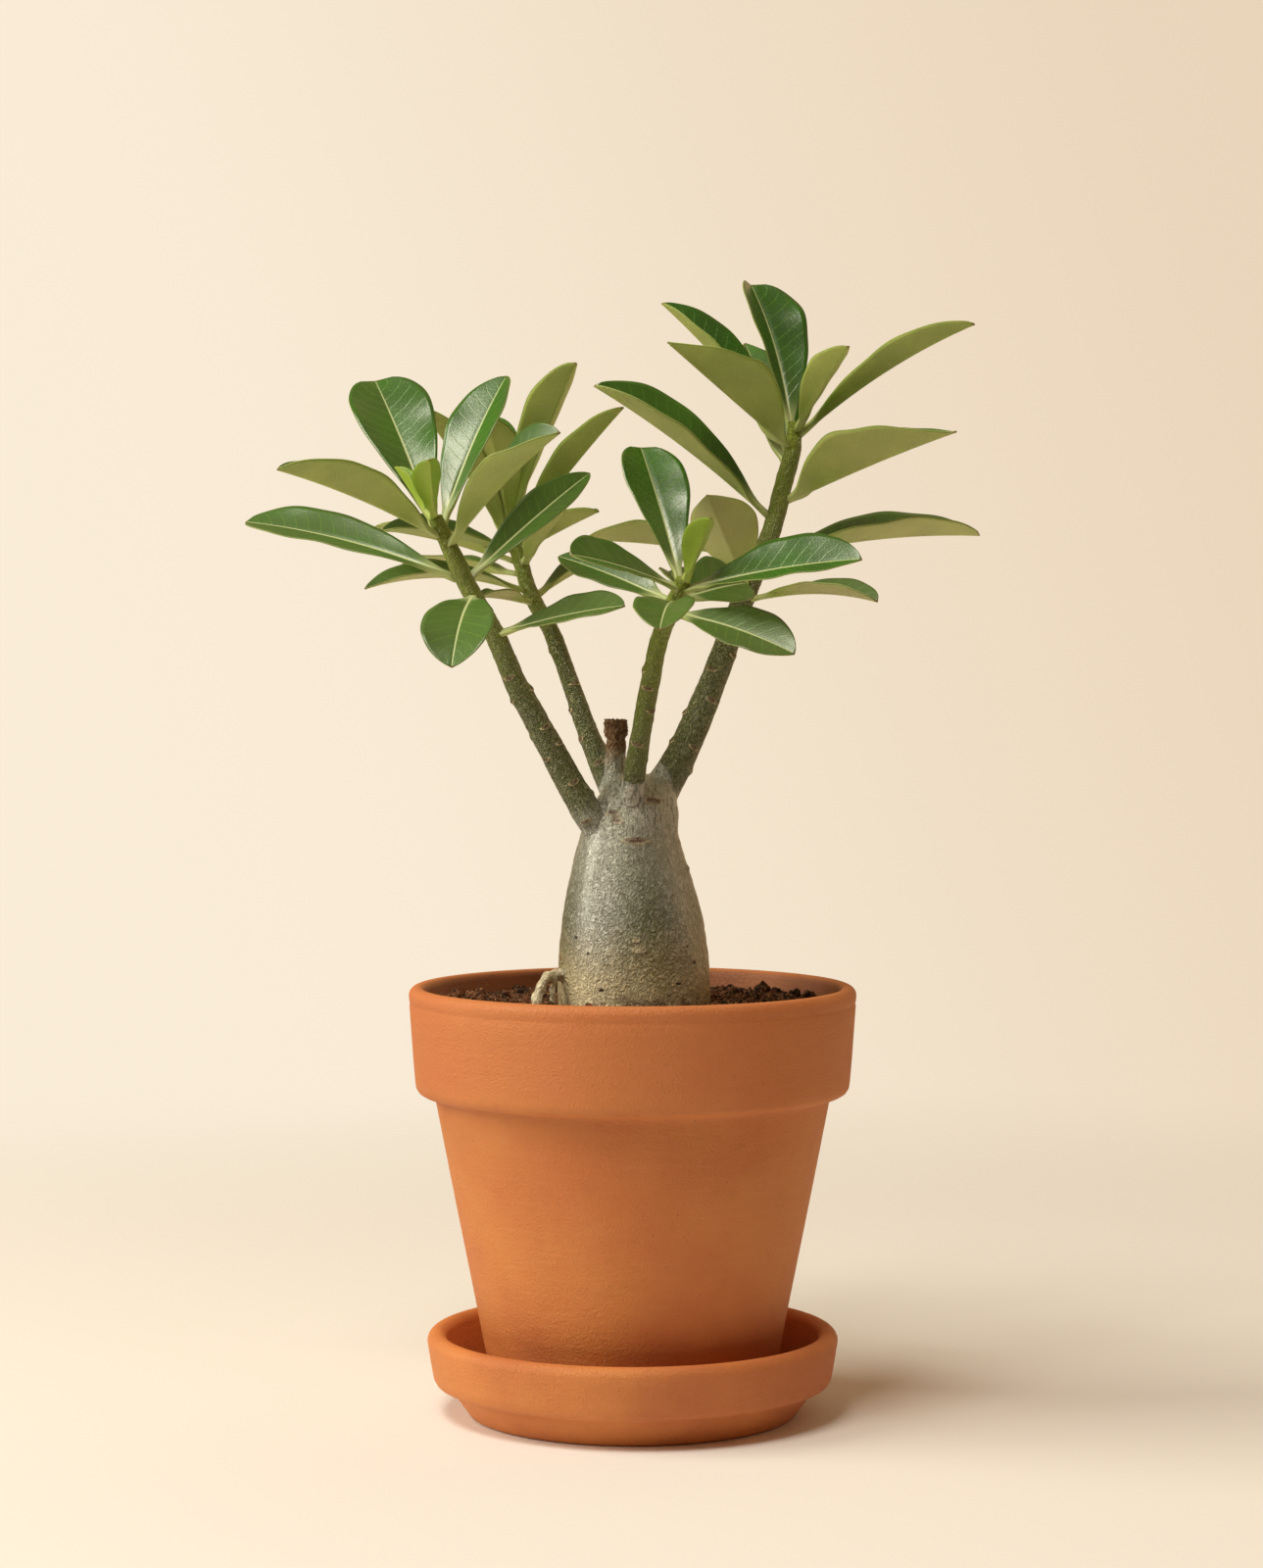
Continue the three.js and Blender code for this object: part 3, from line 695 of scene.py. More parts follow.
count = len(trunk.data.vertices)
spots = np.empty(count * 3)
trunk.data.vertices.foreach_get("co", spots)
spots = spots.reshape(-1, 3) / mm
outwards = np.empty(count * 3)
trunk.data.vertices.foreach_get("normal", outwards)
outwards = outwards.reshape(-1, 3)

# Each point of the bark knows its place in the nearest scar, in half widths and half heights,
# and how far it lies out of the plain round form: a scar is a dent with a raised rim.
NO_SCAR = 9.0
DENT_SPREAD = 0.6
RIM_PLACE, RIM_SPREAD, RIM_SHARE = 1.1, 0.35, 0.4
scar_place = np.full((count, 3), NO_SCAR)
scar_reach = np.full(count, NO_SCAR)
moved = np.zeros(count)
for number, (place, side, upward, wide, tall, kind) in enumerate(scars):
    offset = spots - np.array(place)
    u, v = offset @ np.array(side) / wide, offset @ np.array(upward) / tall
    away = np.sqrt(u**2 + v**2 + (np.linalg.norm(offset, axis=1) > 3 * wide) * 99)
    closer = away < scar_reach
    scar_reach = np.where(closer, away, scar_reach)
    scar_place = np.where(closer[:, None], np.stack([u, v, 0 * u + kind], 1), scar_place)
    if kind:
        depth = BASE_SCARS[number - len(scars)][4]
        moved -= depth * np.exp(-((away / DENT_SPREAD) ** 2))
        moved += RIM_SHARE * abs(depth) * np.exp(-(((away - RIM_PLACE) / RIM_SPREAD) ** 2))

# Each point belongs to the base, a branch, the stub or a root, whichever is nearest, and has
# its place along and round that one, so that the pattern of the bark runs along it.
LINE_GAP = 40  # keeps the patterns of two branches apart
FRONT_GREEN_FROM, FRONT_GREEN_OVER = 0.17, 0.06  # shares of the front branch's length
fine = np.linspace(heights[0], heights[-1], 60)
core = np.stack([np.interp(fine, heights, shifts), 0 * fine, fine], 1)
girth = np.interp(fine, heights, [radius for radius, _, _ in CAUDEX])
nearest = (np.linalg.norm(spots[:, None, :] - core[None, :, :], axis=2) - girth).min(1)
growth = np.zeros(count)
woody = np.zeros(count)
rooted = np.zeros(count)
bark_line = spots.copy()
for number, limb in enumerate([*limbs.values(), stub, *roots], 1):
    line, radii, reach = np.array(limb.points[::4]), limb.radii[::4], np.array(limb.reach[::4])
    ways = np.linalg.norm(spots[:, None, :] - line[None, :, :], axis=2) - radii
    step = ways.argmin(1)
    gap = ways[np.arange(count), step]
    closer = gap < nearest
    nearest = np.where(closer, gap, nearest)
    share = step / (len(line) - 1)
    if limb is limbs["front"]:
        greened = np.clip((share - FRONT_GREEN_FROM) / FRONT_GREEN_OVER, 0, 1)
        share = (0.35 + 0.65 * share) * greened
    growth = np.where(closer, share if limb in limbs.values() else 0, growth)
    woody = np.where(closer, 1.0 if limb is stub else 0, woody)
    rooted = np.where(closer, 1.0 if limb in roots else 0, rooted)
    directions = np.gradient(line, axis=0)
    turns = [Vector(d).rotation_difference(Vector((0, 0, 1))).to_matrix() for d in directions]
    turns = np.array([[list(row) for row in turn] for turn in turns])
    straight = np.einsum("nij,nj->ni", turns[step], spots - line[step])
    straight[:, 2] += reach[step]
    bark_line = np.where(closer[:, None], straight + number * LINE_GAP, bark_line)

# The stub is dead above its foot, with a pinched neck under its torn end, and the roots are
# knobbly.
STUB_DEAD_FROM, STUB_DEAD_OVER = 215, 9
TORN_FROM, TORN_OVER = 224, 4
NECK_HEIGHT, NECK_SPREAD = 226.3, 0.7
STUB_RELIEF = 0.5
KNOB_HEIGHT = 0.22
torn = np.array([math.sin(7 * x + 3 * z) * math.cos(6 * y - 2 * x) for x, y, z in spots])
torn += 0.6 * np.sin(2.3 * spots[:, 0] + 1.1) * np.sin(2.9 * spots[:, 1] + spots[:, 2])
dead = woody * np.clip((spots[:, 2] - STUB_DEAD_FROM) / STUB_DEAD_OVER, 0, 1)
moved += dead * torn * STUB_RELIEF * np.clip((spots[:, 2] - TORN_FROM) / TORN_OVER, 0.3, 1)
moved -= dead * STUB_RELIEF * np.exp(-(((spots[:, 2] - NECK_HEIGHT) / NECK_SPREAD) ** 2))
knobbly = np.sin(0.9 * spots[:, 0] + 1.2 * spots[:, 2])
knobbly = knobbly + np.sin(2.3 * spots[:, 1] - 1.7 * spots[:, 2])
moved += KNOB_HEIGHT * rooted * knobbly
spots += outwards * moved[:, None]
trunk.data.vertices.foreach_set("co", (spots * mm).astype(np.float32).ravel())
trunk.data.update()


def keep_attribute(piece, name, values, kind="FLOAT"):
    """Stores a value for each vertex of a piece, for its finish to follow."""
    attribute = piece.data.attributes.new(name, kind, "POINT")
    field = "value" if kind == "FLOAT" else "vector"
    attribute.data.foreach_set(field, np.asarray(values, np.float32).ravel())


keep_attribute(trunk, "growth", growth)
keep_attribute(trunk, "scar_place", scar_place, "FLOAT_VECTOR")
keep_attribute(trunk, "dead", dead)
around = np.degrees(np.arctan2(spots[:, 1], spots[:, 0])) % 360

# Where the base is silvery, partly with a painted highlight, where it is mossy, and where its foot has
# painted light on it:
# [compass heading, height, half width in degrees, half height, amount]
SILVER_AND_HIGHLIGHT = [
    (238, 178, 18, 26, 1), (228, 193, 16, 10, 0.7), (238, 152, 18, 18, 1),
    (318, 170, 16, 30, 0.5), (60, 170, 40, 30, 0.6), (212, 204, 18, 9, 0.7),
]
MOSSY = [
    (287, 166, 13, 26, 1), (270, 186, 12, 16, 0.5), (265, 150, 10, 12, 0.4),
    (200, 160, 12, 30, 0.5), (120, 160, 20, 30, 0.7),
]
PAINTED_LIGHT_FOOT = [(232, 140, 27, 10, 1), (60, 140, 40, 10, 0.8)]
for name, zones in (("silvery_and_highlight", SILVER_AND_HIGHLIGHT), ("mossy", MOSSY), ("painted_light_foot", PAINTED_LIGHT_FOOT)):
    shade = np.zeros(count)
    for heading, level, wide, tall, amount in zones:
        off = (around - heading + 180) % 360 - 180
        shade += amount * np.exp(-((off / wide) ** 2) - ((spots[:, 2] - level) / tall) ** 2)
    keep_attribute(trunk, name, shade)
keep_attribute(trunk, "rooted", rooted)
keep_attribute(trunk, "bark_line", bark_line * mm, "FLOAT_VECTOR")
bpy.ops.object.shade_smooth()

# The bark is a thin skin, grey and silvery on the swollen base, with a painted highlight and painted
# light on it, green and finely dusted on the branches, bleached on the roots, and dead and brown on the
# stub. It wrinkles as it grows.

# Heights between which the bark of the base changes
SOIL_LINE = 139
STAIN_FOOT, STAIN_TOP = 138.5, 143.5
SOILED_UNTIL, SANDY_UNTIL = 160, 170
CREASED_FROM, CREASED_FULL = 160, 190
PALE_AND_LIT_FROM, PALE_AND_LIT_FULL = 163, 195
CROWN_FROM, CROWN_FULL = 188, 204
CRACKED_FROM, CRACKED_FULL = 219, 226  # of the stub

bark = Finish("living_bark", Specular_IOR_Level=0.75, Coat_Roughness=0.27)
spot = bark.place
line = bark.attribute("bark_line", "Vector")
age = bark.attribute("growth")
wood = bark.attribute("dead")
root = bark.attribute("rooted")
height = spot.node("ShaderNodeSeparateXYZ", None, {0: spot}, 2)
worms = line.stretched(1, 1, 0.8).noise(820, 3, 0.55, 1.2)
wrinkles = line.stretched(1, 1, 0.45).noise(560, 2, 0.5, 1.4)
crease = line.stretched(1, 1, 0.25).noise(1250, 2, 0.5, 0.8).over(0.46, 0.34)
crown = height.over(CROWN_FROM * mm, CROWN_FULL * mm) * age.over(0.22, 0.06)
ridges = worms.over(0.4, 0.62)
folds = wrinkles.over(0.4, 0.6)
patches = spot.stretched(1, 1, 0.5).noise(44, 2)
specks = line.stretched(1, 1, 0.6).cells(1900).over(0.5, 0.26)
silvery_and_highlight, mossy = bark.attribute("silvery_and_highlight"), bark.attribute("mossy")
painted_light_foot = bark.attribute("painted_light_foot")


def tinted_bark(under, red, green, blue, share):
    """Bark of one colour, grown over with another colour by a share."""
    return under.tinted(bark.colour(paint(red, green, blue)), share)


# The base is grey with pale ridges and mossy in places. It is silvery, partly with a painted highlight.
# It is paler towards the top and whiter where the branches start, partly its own colour and partly
# painted light against the shade of the leaves, with darker creases there. Its foot is sandy, with
# painted light on its left front, and stained by the soil in a ring.
moss = patches.over(0.5, 0.72) * 0.35 + mossy * (0.75 - 0.3 * ridges)
creased_level = height.over(CREASED_FROM * mm, CREASED_FULL * mm)
creased = (crown * 0.22 + creased_level * 0.2 + 0.18) * crease
sandy = height.over(SANDY_UNTIL * mm, SOIL_LINE * mm) * (0.5 + 0.4 * ridges)
ring = height.over(STAIN_TOP * mm, STAIN_FOOT * mm) * spot.noise(260, 3).over(0.4, 0.55)
base = tinted_bark(bark.colour(paint(104, 103, 78)), 196, 194, 176, ridges * 0.6 + 0.04)
base = tinted_bark(base, 96, 102, 58, moss)
# Silvery bark: partly its own colour, partly a painted highlight where the light from the left falls.
base = tinted_bark(base, 228, 229, 224, silvery_and_highlight * (0.42 + 0.5 * ridges))
# Painted light, partly the bark's own paler colour: the upper part is paler and the crown whiter,
# lifting the shade of the leaves and branches.
base = tinted_bark(base, 214, 214, 204, height.over(PALE_AND_LIT_FROM * mm, PALE_AND_LIT_FULL * mm) * 0.4)
base = tinted_bark(base, 228, 228, 216, crown * (folds * 0.25 + 0.7))
base = tinted_bark(base, 88, 84, 62, creased)
base = tinted_bark(base, 232, 208, 154, sandy)
# Painted light: the foot is painted paler on its left front and its right back, and the soil's ring
# stain is fainter there.
base = tinted_bark(base, 255, 236, 196, painted_light_foot * (0.65 + 0.3 * ridges))
base = tinted_bark(base, 118, 84, 54, ring * (0.85 - 0.5 * painted_light_foot))

# The branches are green and dusted with pale specks, the less so the nearer to their tips.
green = tinted_bark(bark.colour(paint(76, 86, 26)), 146, 162, 54, age.over(0.35, 0.9))
dusted = (ridges * 0.26 + specks * 0.32) * age.over(0.98, 0.2)
twig = tinted_bark(green, 204, 200, 156, dusted)
skin = base.tinted(twig, age.over(0.06, 0.2))

# Scars have a pale rim and are brown inside, with a dark slit. Scabs are pale, spots dark.
place = bark.attribute("scar_place", "Vector")
kind = place.node("ShaderNodeSeparateXYZ", None, {0: place}, 2)
v = place.node("ShaderNodeSeparateXYZ", None, {0: place}, 1)
level_place = place.stretched(1, 1, 0)
reach = place.node("ShaderNodeVectorMath", {"operation": "LENGTH"}, {0: level_place}, 1)
ragged = reach + (line.noise(700, 2) - 0.5) * 0.7
rim = ragged.over(0.7, 0.9) * ragged.over(1.25, 1.0)
inside = ragged.over(0.95, 0.6)
slit = ragged.over(0.75, 0.3) * v.math("ABSOLUTE", v).over(0.42, 0.1)
is_leaf_scar = kind.over(0.6, 0.4)
is_scab = kind.over(1.4, 1.6) * kind.over(2.6, 2.4)
is_spot = kind.over(2.4, 2.6)
is_scar_or_scab = kind.over(0.4, 0.6) * kind.over(2.6, 2.4)
is_scar = kind.over(1.4, 1.1)
rim_share = is_leaf_scar * v.over(0.5, -0.1) + is_scar_or_scab * (0.3 + v.over(0.2, -0.6) * 0.35)
shown_rim = rim * rim_share
skin = tinted_bark(skin, 238, 214, 168, shown_rim)
skin = tinted_bark(skin, 140, 118, 80, inside * is_leaf_scar * 0.65)
skin = tinted_bark(skin, 156, 112, 76, inside * kind.over(0.6, 0.9) * is_scar * 0.5)
skin = tinted_bark(skin, 104, 60, 38, slit * is_scar * 0.8)
skin = tinted_bark(skin, 222, 202, 168, inside * is_scab * 0.9)
skin = tinted_bark(skin, 66, 44, 30, inside * is_spot * 0.9)

# The roots are bleached with a few brown patches, and the stub has a pale neck and a brown,
# cracked end.
is_root = root.over(0.2, 0.7)
skin = tinted_bark(skin, 255, 240, 205, is_root * (0.9 + 0.1 * ridges))
skin = tinted_bark(skin, 150, 108, 70, is_root * patches.over(0.58, 0.72) * 0.3)
crust = tinted_bark(bark.colour(paint(136, 92, 60)), 206, 164, 120, folds * 0.75)
crust = tinted_bark(crust, 74, 48, 34, ridges.over(0.3, 0) * 0.4)
crust = bark.colour(paint(176, 136, 92)).tinted(crust, height.over(CRACKED_FROM * mm, CRACKED_FULL * mm))
skin = skin.tinted(crust, wood)
soiled = height.over(SOILED_UNTIL * mm, SOIL_LINE * mm)
wrinkled = worms.over(0.34, 0.68) * 0.7 - crease * (crown + 0.25)
bark.feed(
    Base_Color=skin,
    Coat_Weight=age.over(0.2, 0.05) * (0.35 + 0.35 * silvery_and_highlight) * (1 - wood),
    Roughness=0.34 - silvery_and_highlight * 0.08 + wood * 0.45 + shown_rim * 0.2 + soiled * 0.15,
    Normal=bark.relief(wrinkled + shown_rim * 0.8 + wood * folds * 1.4, 1),
)
trunk.data.materials.clear()
trunk.data.materials.append(bark.material)
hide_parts("trunk")
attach(trunk, "root")


# ---------------------------------------------------------------- Leaves
# The leaves are leathery and folded along a pale rib, glossy dark green above and matt olive
# below, on short stalks that grow out of the ends of the branches. Each is a piece of its own.
# Rows: [below the tip, heading, rise, length, width, bend, roll, twist, fold, widest]

LEAVES = {
    "left": [
        (-1, 150, 50, 21, 9, 0, 0, 0, 50, 0.6), (-1, 268, 42, 26, 12, 5, 25, 0, 35, 0.6),
        (2, 121, 54, 68, 28, 15, -17, 0, 13, 0.72), (3, 56, 62, 61, 21, 15, 2, 0, 20, 0.62),
        (4, 219, 23, 63, 22, 12, 0, 0, 42, 0.58), (9, 316, 41, 59, 23, 15, 0, 44, 38, 0.62),
        (20, 166, 22, 76, 22, 18, -30, 0, 12, 0.66), (23, 40, 38, 63, 15, 10, 36, 0, 20, 0.6),
        (29, 262, -10, 43, 24, 45, 0, 0, 10, 0.62), (44, 325, 15, 47, 18, 12, 34, 0, 10, 0.64),
    ],
    "back": [
        (-1, 270, 60, 22, 7, 0, 0, 0, 50, 0.6), (2, 307, 59, 62, 19, 10, 0, 0, 35, 0.64),
        (2, 105, 50, 55, 20, 10, 0, 0, 25, 0.7), (6, 262, 49, 50, 17, 10, -15, 0, 22, 0.68),
        (8, 319, 43, 62, 16, 5, 0, 0, 32, 0.6), (10, 226, 52, 59, 17, 10, 0, 0, 30, 0.6),
        (13, 205, 14, 46, 17, 15, -20, 0, 25, 0.6), (14, 330, 24, 31, 13, 5, 0, 0, 30, 0.62),
        (20, 296, 34, 35, 16, 5, 0, 0, 30, 0.6), (16, 162, 20, 52, 15, 15, 0, 0, 30, 0.6),
        (21, 144, 8, 55, 18, 20, 0, 0, 30, 0.6), (29, 211, 17, 58, 17, 36, -15, 0, 20, 0.56),
        (31, 42, 31, 44, 13, 25, 0, 0, 30, 0.6), (35, 233, 8, 26, 10, 10, 0, 0, 25, 0.6),
    ],
    "front": [
        (-1, 296, 48, 25, 12, 0, 0, 0, 38, 0.62), (2, 111, 57, 56, 23, 10, 0, 0, 14, 0.72),
        (2, 332, 14, 59, 24, 14, 38, 0, 16, 0.62), (3, 222, 19, 42, 19, 15, -38, 0, 14, 0.7),
        (10, 150, 24, 44, 19, 12, -34, 0, 14, 0.56), (5, 98, 19, 23, 10, 10, 0, 0, 25, 0.6),
        (8, 264, 4, 46, 20, 30, 0, 0, 15, 0.68), (7, 43, 14, 30, 23, 12, 42, 0, 14, 0.56),
        (11, 318, -7, 46, 20, 22, 33, 0, 8, 0.62),
    ],
    "right": [
        (2, 108, 72, 60, 26, 25, 17, 0, 24, 0.7), (2, 296, 40, 41, 15, 8, 0, 0, 36, 0.6),
        (5, 172, 53, 62, 20, 12, -22, 0, 35, 0.6), (3, 340, 39, 69, 16, 20, -14, 0, 32, 0.62),
        (8, 219, 31, 60, 30, 0, 15, -25, 35, 0.5), (14, 108, 52, 60, 25, 10, 0, 0, 22, 0.52),
        (26, 337, 23, 62, 31, 7, -15, 25, 40, 0.43), (33, 195, 41, 72, 22, 13, -34, 0, 42, 0.62),
        (45, 18, 13, 76, 24, 15, 8, 0, 30, 0.6), (50, 181, 13, 55, 22, 14, 0, 0, 30, 0.6),
        (59, 245, 42, 42, 26, 0, 20, 0, 32, 0.5), (62, 327, 11, 47, 14, 26, 0, 12, 30, 0.68),
    ],
}
FULLNESS = 0.95  # of the outline: the smaller, the rounder its ends
STALK_HALF_WIDTH = 1.25
STALK_THICKNESS = 1.8
STALK_END = 0.2  # share of the length
STALK_ROOT = 2.6  # how far the stalk's foot reaches into the bark
STALK_FOOT = 0.05  # share of the length
TIP_HALF_WIDTH = 0.28
TIP_START, TIP_LENGTH = 0.93, 0.07  # shares of the length
BLADE_THICKNESS = 0.6
MARGIN_THINNING = 0.35
RIB_DEPTH, RIB_SPREAD = 0.9, 0.9
GROOVE_DEPTH, GROOVE_SPREAD = 0.28, 0.7
CUPPING = 0.1  # rise of the margin as a share of the half width
RIPPLE_HEIGHT = 0.022  # share of the half width
RIPPLE_WAVES = (2.4, 3.7)  # along a leaf: the first are opposite on the two margins
VEIN_GAP = 4.6
VEIN_SLANT = 1.5  # in gaps, for a leaf of the usual width
USUAL_WIDTH = 22
STANDOFF = 1
CROWN_SPREAD = 1.7

bpy.ops.object.select_all(action="DESELECT")
bpy.ops.mesh.primitive_grid_add(x_subdivisions=22, y_subdivisions=46, size=2)
flat_leaf = bpy.context.object
for face in ("upper", "under"):
    flat_leaf.data.materials.append(bpy.data.materials.new(face))
applied(flat_leaf, "SOLIDIFY", thickness=1, offset=-1, material_offset=1, material_offset_rim=1)
bpy.ops.object.shade_smooth()
flat = np.empty(len(flat_leaf.data.vertices) * 3)
flat_leaf.data.vertices.foreach_get("co", flat)
flat = flat.reshape(-1, 3)
across = np.sign(flat[:, 0]) * (0.45 * np.abs(flat[:, 0]) + 0.55 * np.abs(flat[:, 0]) ** 1.7)
along = (flat[:, 1] + 1) / 2
level = 0.5 + np.clip(flat[:, 2], -1, 0)


def leaf_piece(name, limb, row, number, age):
    """A leaf folded, bent and turned from the flat one, with its stalk's foot in the bark."""
    below, heading, rise, length, width, bend, roll, twist, fold, widest = row
    chance = random.Random(number)
    power = math.log(0.5) / math.log(widest)
    outline = np.sin(math.pi * np.clip(along, 0, 1) ** power) ** (FULLNESS / power)
    tip = np.clip((along - TIP_START) / TIP_LENGTH, 0, 1)
    bare = STALK_HALF_WIDTH * (1 - along) + TIP_HALF_WIDTH * along
    half = np.maximum(bare, width / 2 * outline)
    grown = np.clip(along / STALK_END, 0, 1)
    grown = grown * grown * (3 - 2 * grown)
    side = across * half
    angle = math.radians(fold) * grown
    rib = RIB_DEPTH * (1 - along) * grown * np.exp(-((side / RIB_SPREAD) ** 2))
    groove = GROOVE_DEPTH * grown * (1 - 0.7 * along) * np.exp(-((side / GROOVE_SPREAD) ** 2))
    thin = BLADE_THICKNESS * (1 - MARGIN_THINNING * np.abs(across) ** 3)
    thickness = STALK_THICKNESS * (1 - grown) + thin * grown
    arch = CUPPING * half * across**2 * grown
    ripple = np.sin(math.tau * (RIPPLE_WAVES[0] * along + chance.random())) * np.sign(across)
    ripple += np.sin(math.tau * (RIPPLE_WAVES[1] * along + chance.random()))
    ripple *= RIPPLE_HEIGHT * half * np.abs(across) ** 2 * grown * (1 - tip)
    slant = VEIN_SLANT * np.abs(across) ** 1.15 * (width / USUAL_WIDTH)
    veins = length / VEIN_GAP * along - slant
    raised = np.abs(side) * np.sin(angle) + arch + ripple
    raised += np.where(level > 0, -groove, -rib) + level * thickness
    off_rib = np.minimum(np.abs(across) * 6, 1)
    wide = side * np.cos(angle)
    wide = wide - level * thickness * np.sin(angle) * np.sign(across) * off_rib
    turn = math.radians(twist) * along
    x = wide * np.cos(turn) + raised * np.sin(turn)
    z = raised * np.cos(turn) - wide * np.sin(turn)
    curl = math.radians(bend)
    bent = curl * along
    if curl:
        arc, drop = np.sin(bent) / curl * length, (1 - np.cos(bent)) / curl * length
    else:
        arc, drop = along * length, 0 * along
    y = arc + z * np.sin(bent) - STALK_ROOT * np.clip(1 - along / STALK_FOOT, 0, 1)
    z = z * np.cos(bent) - drop
    if below < 0:
        foot, direction, _ = limb.at(limb.length)
        _, out = limb.bark_point(limb.length, heading)
        foot = foot + out * CROWN_SPREAD + direction * -below
    else:
        foot, _ = limb.bark_point(limb.length - below, heading, STANDOFF)
    turned_by = (
        Matrix.Rotation(math.radians(heading - 90), 3, "Z")
        @ Matrix.Rotation(math.radians(rise), 3, "X")
        @ Matrix.Rotation(math.radians(roll), 3, "Y")
    )
    points = np.stack([x, y, z], 1) @ np.array(turned_by).T + np.array(foot)
    leaf = named_copy(flat_leaf, name)
    leaf.data.vertices.foreach_set("co", (points * mm).astype(np.float32).ravel())
    leaf.data.update()
    keep_attribute(leaf, "across", across)
    keep_attribute(leaf, "along", along)
    keep_attribute(leaf, "from_rib", np.abs(side))
    keep_attribute(leaf, "from_margin", half - np.abs(side))
    keep_attribute(leaf, "vein", veins)
    keep_attribute(leaf, "tone", np.full(len(flat), chance.random()))
    keep_attribute(leaf, "age", np.full(len(flat), age))
    return leaf


# The upper face is waxy and glossy. The under face is matt and lets some light through. Young
# leaves are yellow-green on both faces, and the oldest ones are duller.

# The colour of the margins, which on the paler faces also paints shade.
MARGIN_GREEN_AND_SHADE = (96, 110, 48)
TIP_BROWN = (126, 98, 58)
LETS_LIGHT_IN = {
    "Subsurface_Weight": 0.3,
    "Subsurface_Scale": 0.002,
    "Subsurface_Radius": (0.6, 1, 0.3),
}


def blade_finish(
    name, body, shade, pale, rib, old, rib_green_lit_through, gloss, pebble, vein_strength, rib_strength, **shine
):
    """The skin of one face of a leaf, with its rib, side veins, margin and stalk. Old leaves dull."""
    skin = Finish(name, **shine)
    spot = skin.place
    colours = (body, shade, pale, rib, old, rib_green_lit_through)
    body, shade, pale, rib, old, rib_green_lit_through = (skin.colour(paint(*colour)) for colour in colours)
    along, rib_gap = skin.attribute("along"), skin.attribute("from_rib")
    margin, tone = skin.attribute("from_margin"), skin.attribute("tone")
    age = skin.attribute("age")
    half = skin.attribute("across").over(-0.01, 0.01)
    phase = skin.attribute("vein") + 0.5 * half
    phase = phase + spot.noise(160, 2) * 0.35
    vein = phase.math("PINGPONG", phase, 0.5).over(0.05, 0.0)
    vein = vein * margin.over(0.4, 3) * along.over(0.06, 0.2)
    mid = (rib_gap + along * 0.4).over(0.7, 0.4)
    rim = margin.over(0.32, 0.08)
    stalk = along.over(0.2, 0.03)
    cloud = spot.noise(70, 3).over(0.35, 0.68)
    fleck = spot.noise(1300, 3, 0.6)
    aged = (age * age * 0.65 + cloud * 0.12) * along.over(0.05, 0.5)
    green = body.tinted(shade, cloud * 0.6 + tone * 0.3)
    # Greener towards the stalk and near the rib: partly the leaf's own colour, partly painted light
    # shining through the blade.
    green = green.tinted(rib_green_lit_through, along.over(0.6, 0.05) * rib_gap.over(9, 1) * 0.7)
    green = green.tinted(old, aged)
    green = green.tinted(pale, fleck.over(0.5, 0.72) * pebble)
    green = green.tinted(pale, vein * vein_strength)
    # The margin's own colour; on the paler faces it is also painted shade over the light that the edges
    # catch.
    green = green.tinted(skin.colour(paint(*MARGIN_GREEN_AND_SHADE)), rim * 0.6)
    green = green.tinted(rib, mid * rib_strength)
    green = green.tinted(rib, stalk * 0.7)
    green = green.tinted(skin.colour(paint(*TIP_BROWN)), along.over(0.985, 1) * 0.8)
    skin.feed(
        Base_Color=green,
        Roughness=gloss + fleck * 0.1 + mid * 0.1 + age * 0.1,
        Normal=skin.relief(fleck * 0.8 - vein * 0.35 + cloud * 0.5, 0.075, 0.9),
    )
    return skin.material


leaf_skins = [
    blade_finish(
        "leaf_upper",
        body=(58, 110, 21),
        shade=(38, 84, 13),
        pale=(110, 152, 58),
        rib=(206, 217, 160),
        old=(92, 112, 62),
        rib_green_lit_through=(92, 112, 62),
        gloss=0.2,
        pebble=0.2,
        vein_strength=0.65,
        rib_strength=0.9,
        Specular_IOR_Level=0.8,
    ),
    blade_finish(
        "leaf_under",
        body=(190, 198, 110),
        shade=(154, 170, 80),
        pale=(208, 212, 146),
        rib=(206, 214, 144),
        old=(188, 182, 134),
        rib_green_lit_through=(150, 174, 66),
        gloss=0.45,
        pebble=0.3,
        vein_strength=0.12,
        rib_strength=0.3,
        Specular_IOR_Level=0.5,
        **LETS_LIGHT_IN,
    ),
]
young_skins = [
    blade_finish(
        "young_leaf_upper",
        body=(156, 194, 56),
        shade=(134, 174, 46),
        pale=(182, 206, 92),
        rib=(206, 218, 128),
        old=(150, 184, 52),
        rib_green_lit_through=(150, 184, 52),
        gloss=0.3,
        pebble=0.3,
        vein_strength=0.5,
        rib_strength=0.7,
        Specular_IOR_Level=0.6,
        **LETS_LIGHT_IN,
    ),
    blade_finish(
        "young_leaf_under",
        body=(166, 192, 68),
        shade=(146, 174, 56),
        pale=(190, 206, 98),
        rib=(200, 214, 120),
        old=(166, 192, 68),
        rib_green_lit_through=(166, 192, 68),
        gloss=0.42,
        pebble=0.3,
        vein_strength=0.3,
        rib_strength=0.5,
        Specular_IOR_Level=0.5,
        **LETS_LIGHT_IN,
    ),
]

# Each leaf grows from its own branch, the youngest first, and is a piece of its own.
number = 0
for side_name, rows in LEAVES.items():
    for index, row in enumerate(rows, 1):
        number += 1
        node = f"{side_name}_leaf_{index:02d}"
        leaf = leaf_piece(f"{node}_blade", limbs[side_name], row, number, index / len(rows))
        young = row[0] < 0
        for slot_number, skin in enumerate(young_skins if young else leaf_skins):
            leaf.data.materials[slot_number] = skin
        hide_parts(node)
        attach(leaf, "root")
bpy.data.objects.remove(flat_leaf)


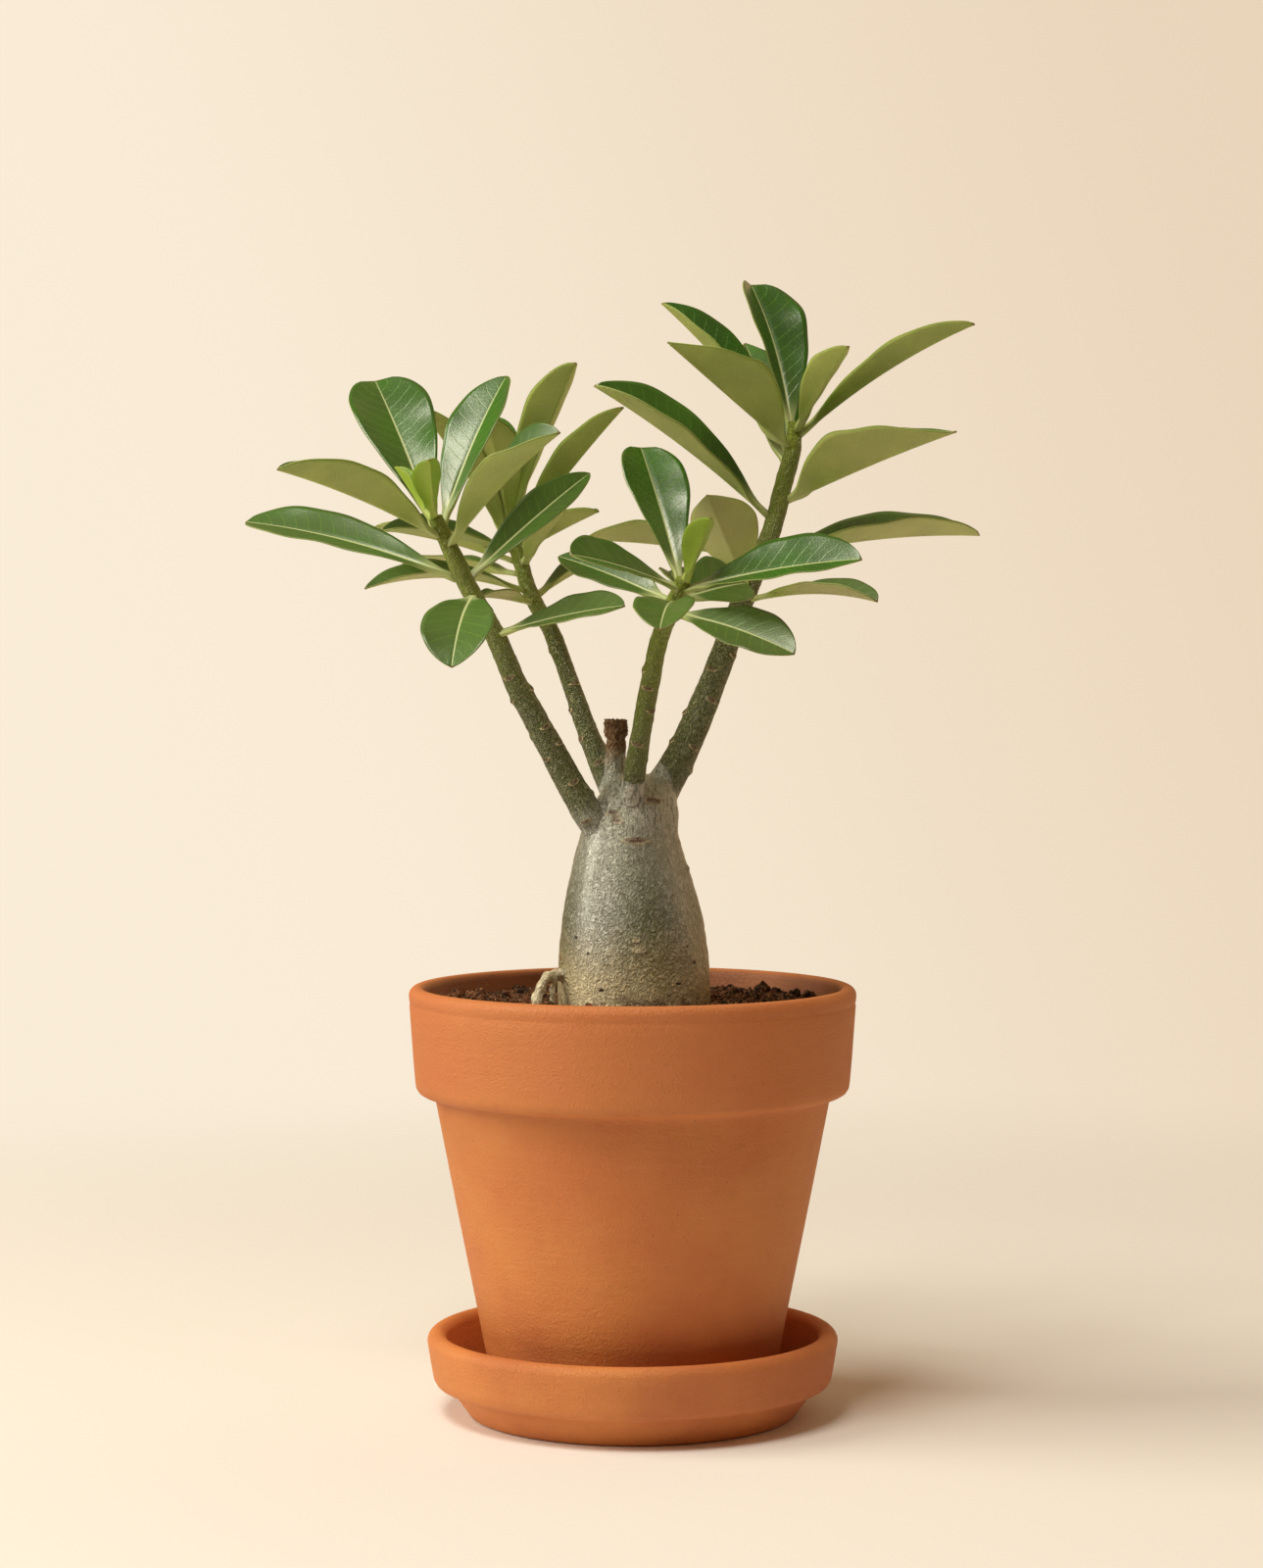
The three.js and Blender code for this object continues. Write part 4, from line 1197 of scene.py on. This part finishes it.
# ---------------------------------------------------------------- Floor, light and camera
# A plain cream floor that fades into a cream surround, painted lighter on the left and dimmer on the
# right, with a large soft light from the left and a smaller one from above, a little in front and to the
# left. Sizes in metres.

FLOOR_RADIUS = 2.4
FLOOR_GAP = 0.0002
FADE_FROM, FADE_UNTIL = 0.28, 0.95
CAMERA_PLACE = (-0.00037, -1.18, 0.253)
CAMERA_DIP = 2.03  # in degrees
FOCAL_LENGTH = 80.93  # in millimetres

bpy.ops.object.select_all(action="DESELECT")
bpy.ops.mesh.primitive_circle_add(
    vertices=96, radius=FLOOR_RADIUS, fill_type="NGON", location=(0, 0, -FLOOR_GAP)
)
floor = bpy.context.object
floor.name = "floor"
cream = Finish("cream_floor", Roughness=0.9, Specular_IOR_Level=0.1)
cream.shader.inputs["Base Color"].default_value = paint(239, 236, 238)
far = cream.place.node("ShaderNodeVectorMath", {"operation": "LENGTH"}, {0: cream.place}, 1)
clear = cream.place.node("ShaderNodeBsdfTransparent")
shader = Wire(cream.shader.outputs[0])
fade = far.over(FADE_FROM, FADE_UNTIL)
faded = cream.place.node("ShaderNodeMixShader", None, {0: fade, 1: shader, 2: clear})
output = cream.material.node_tree.nodes["Material Output"]
cream.material.node_tree.links.new(faded.socket, output.inputs["Surface"])
floor.data.materials.append(cream.material)

world = bpy.data.worlds.new("surround")
bpy.context.scene.world = world
world.use_nodes = True
air = world.node_tree.nodes
way = Wire(air.new("ShaderNodeTexCoord").outputs["Generated"])
right = way.node("ShaderNodeSeparateXYZ", None, {0: way}, 0)
up = way.node("ShaderNodeSeparateXYZ", None, {0: way}, 2)
rear = way.node("ShaderNodeSeparateXYZ", None, {0: way}, 1)
lit_cream = way.node("ShaderNodeRGB").held(paint(250, 236, 214))
dim_cream = way.node("ShaderNodeRGB").held(paint(232, 211, 184))
# Painted light on the surround: lighter on the left and low down, dimmer to the right and higher up.
shown = lit_cream.tinted(dim_cream, (right + up * 0.35).over(-0.17, 0.27))
seen = way.node("ShaderNodeLightPath")
backdrop = way.node("ShaderNodeBackground", None, {"Color": shown, "Strength": 1.0})
strength = 0.145 + rear.over(-0.3, 0.8) * (0.4 + 0.45 * right)
warm_cream = paint(255, 213, 158)
bounce = way.node("ShaderNodeBackground", None, {"Color": warm_cream, "Strength": strength})
mixed = way.node("ShaderNodeMixShader", None, {0: seen, 1: bounce, 2: backdrop})
world.node_tree.links.new(mixed.socket, air["World Output"].inputs["Surface"])


def soft_light(name, place, aim, size, power, colour):
    """A soft oblong light of so many watts that shines from a place at another one."""
    lamp = bpy.data.lights.new(name, "AREA")
    lamp.shape = "RECTANGLE"
    lamp.size, lamp.size_y = size
    lamp.energy = power
    lamp.color = paint(*colour)[:3]
    holder = bpy.data.objects.new(name, lamp)
    holder.location = place
    holder.rotation_euler = (Vector(aim) - Vector(place)).to_track_quat("-Z", "Y").to_euler()
    bpy.context.scene.collection.objects.link(holder)


soft_light("window_light", (-2.35, -0.3, 1.4), (0, 0, 0.2), (1.8, 1.6), 60, (255, 250, 226))
soft_light("overhead_light", (-0.6, -1.05, 2.35), (0, 0, 0.2), (0.85, 0.85), 37, (255, 248, 228))

lens = bpy.data.cameras.new("camera")
lens.sensor_width = 36
lens.lens = FOCAL_LENGTH
lens.clip_start, lens.clip_end = 0.01, 20
camera = bpy.data.objects.new("camera", lens)
camera.location = CAMERA_PLACE
camera.rotation_euler = (math.radians(90 - CAMERA_DIP), 0, 0)
bpy.context.scene.collection.objects.link(camera)
bpy.context.scene.camera = camera
bpy.context.scene.view_settings.view_transform = "Standard"
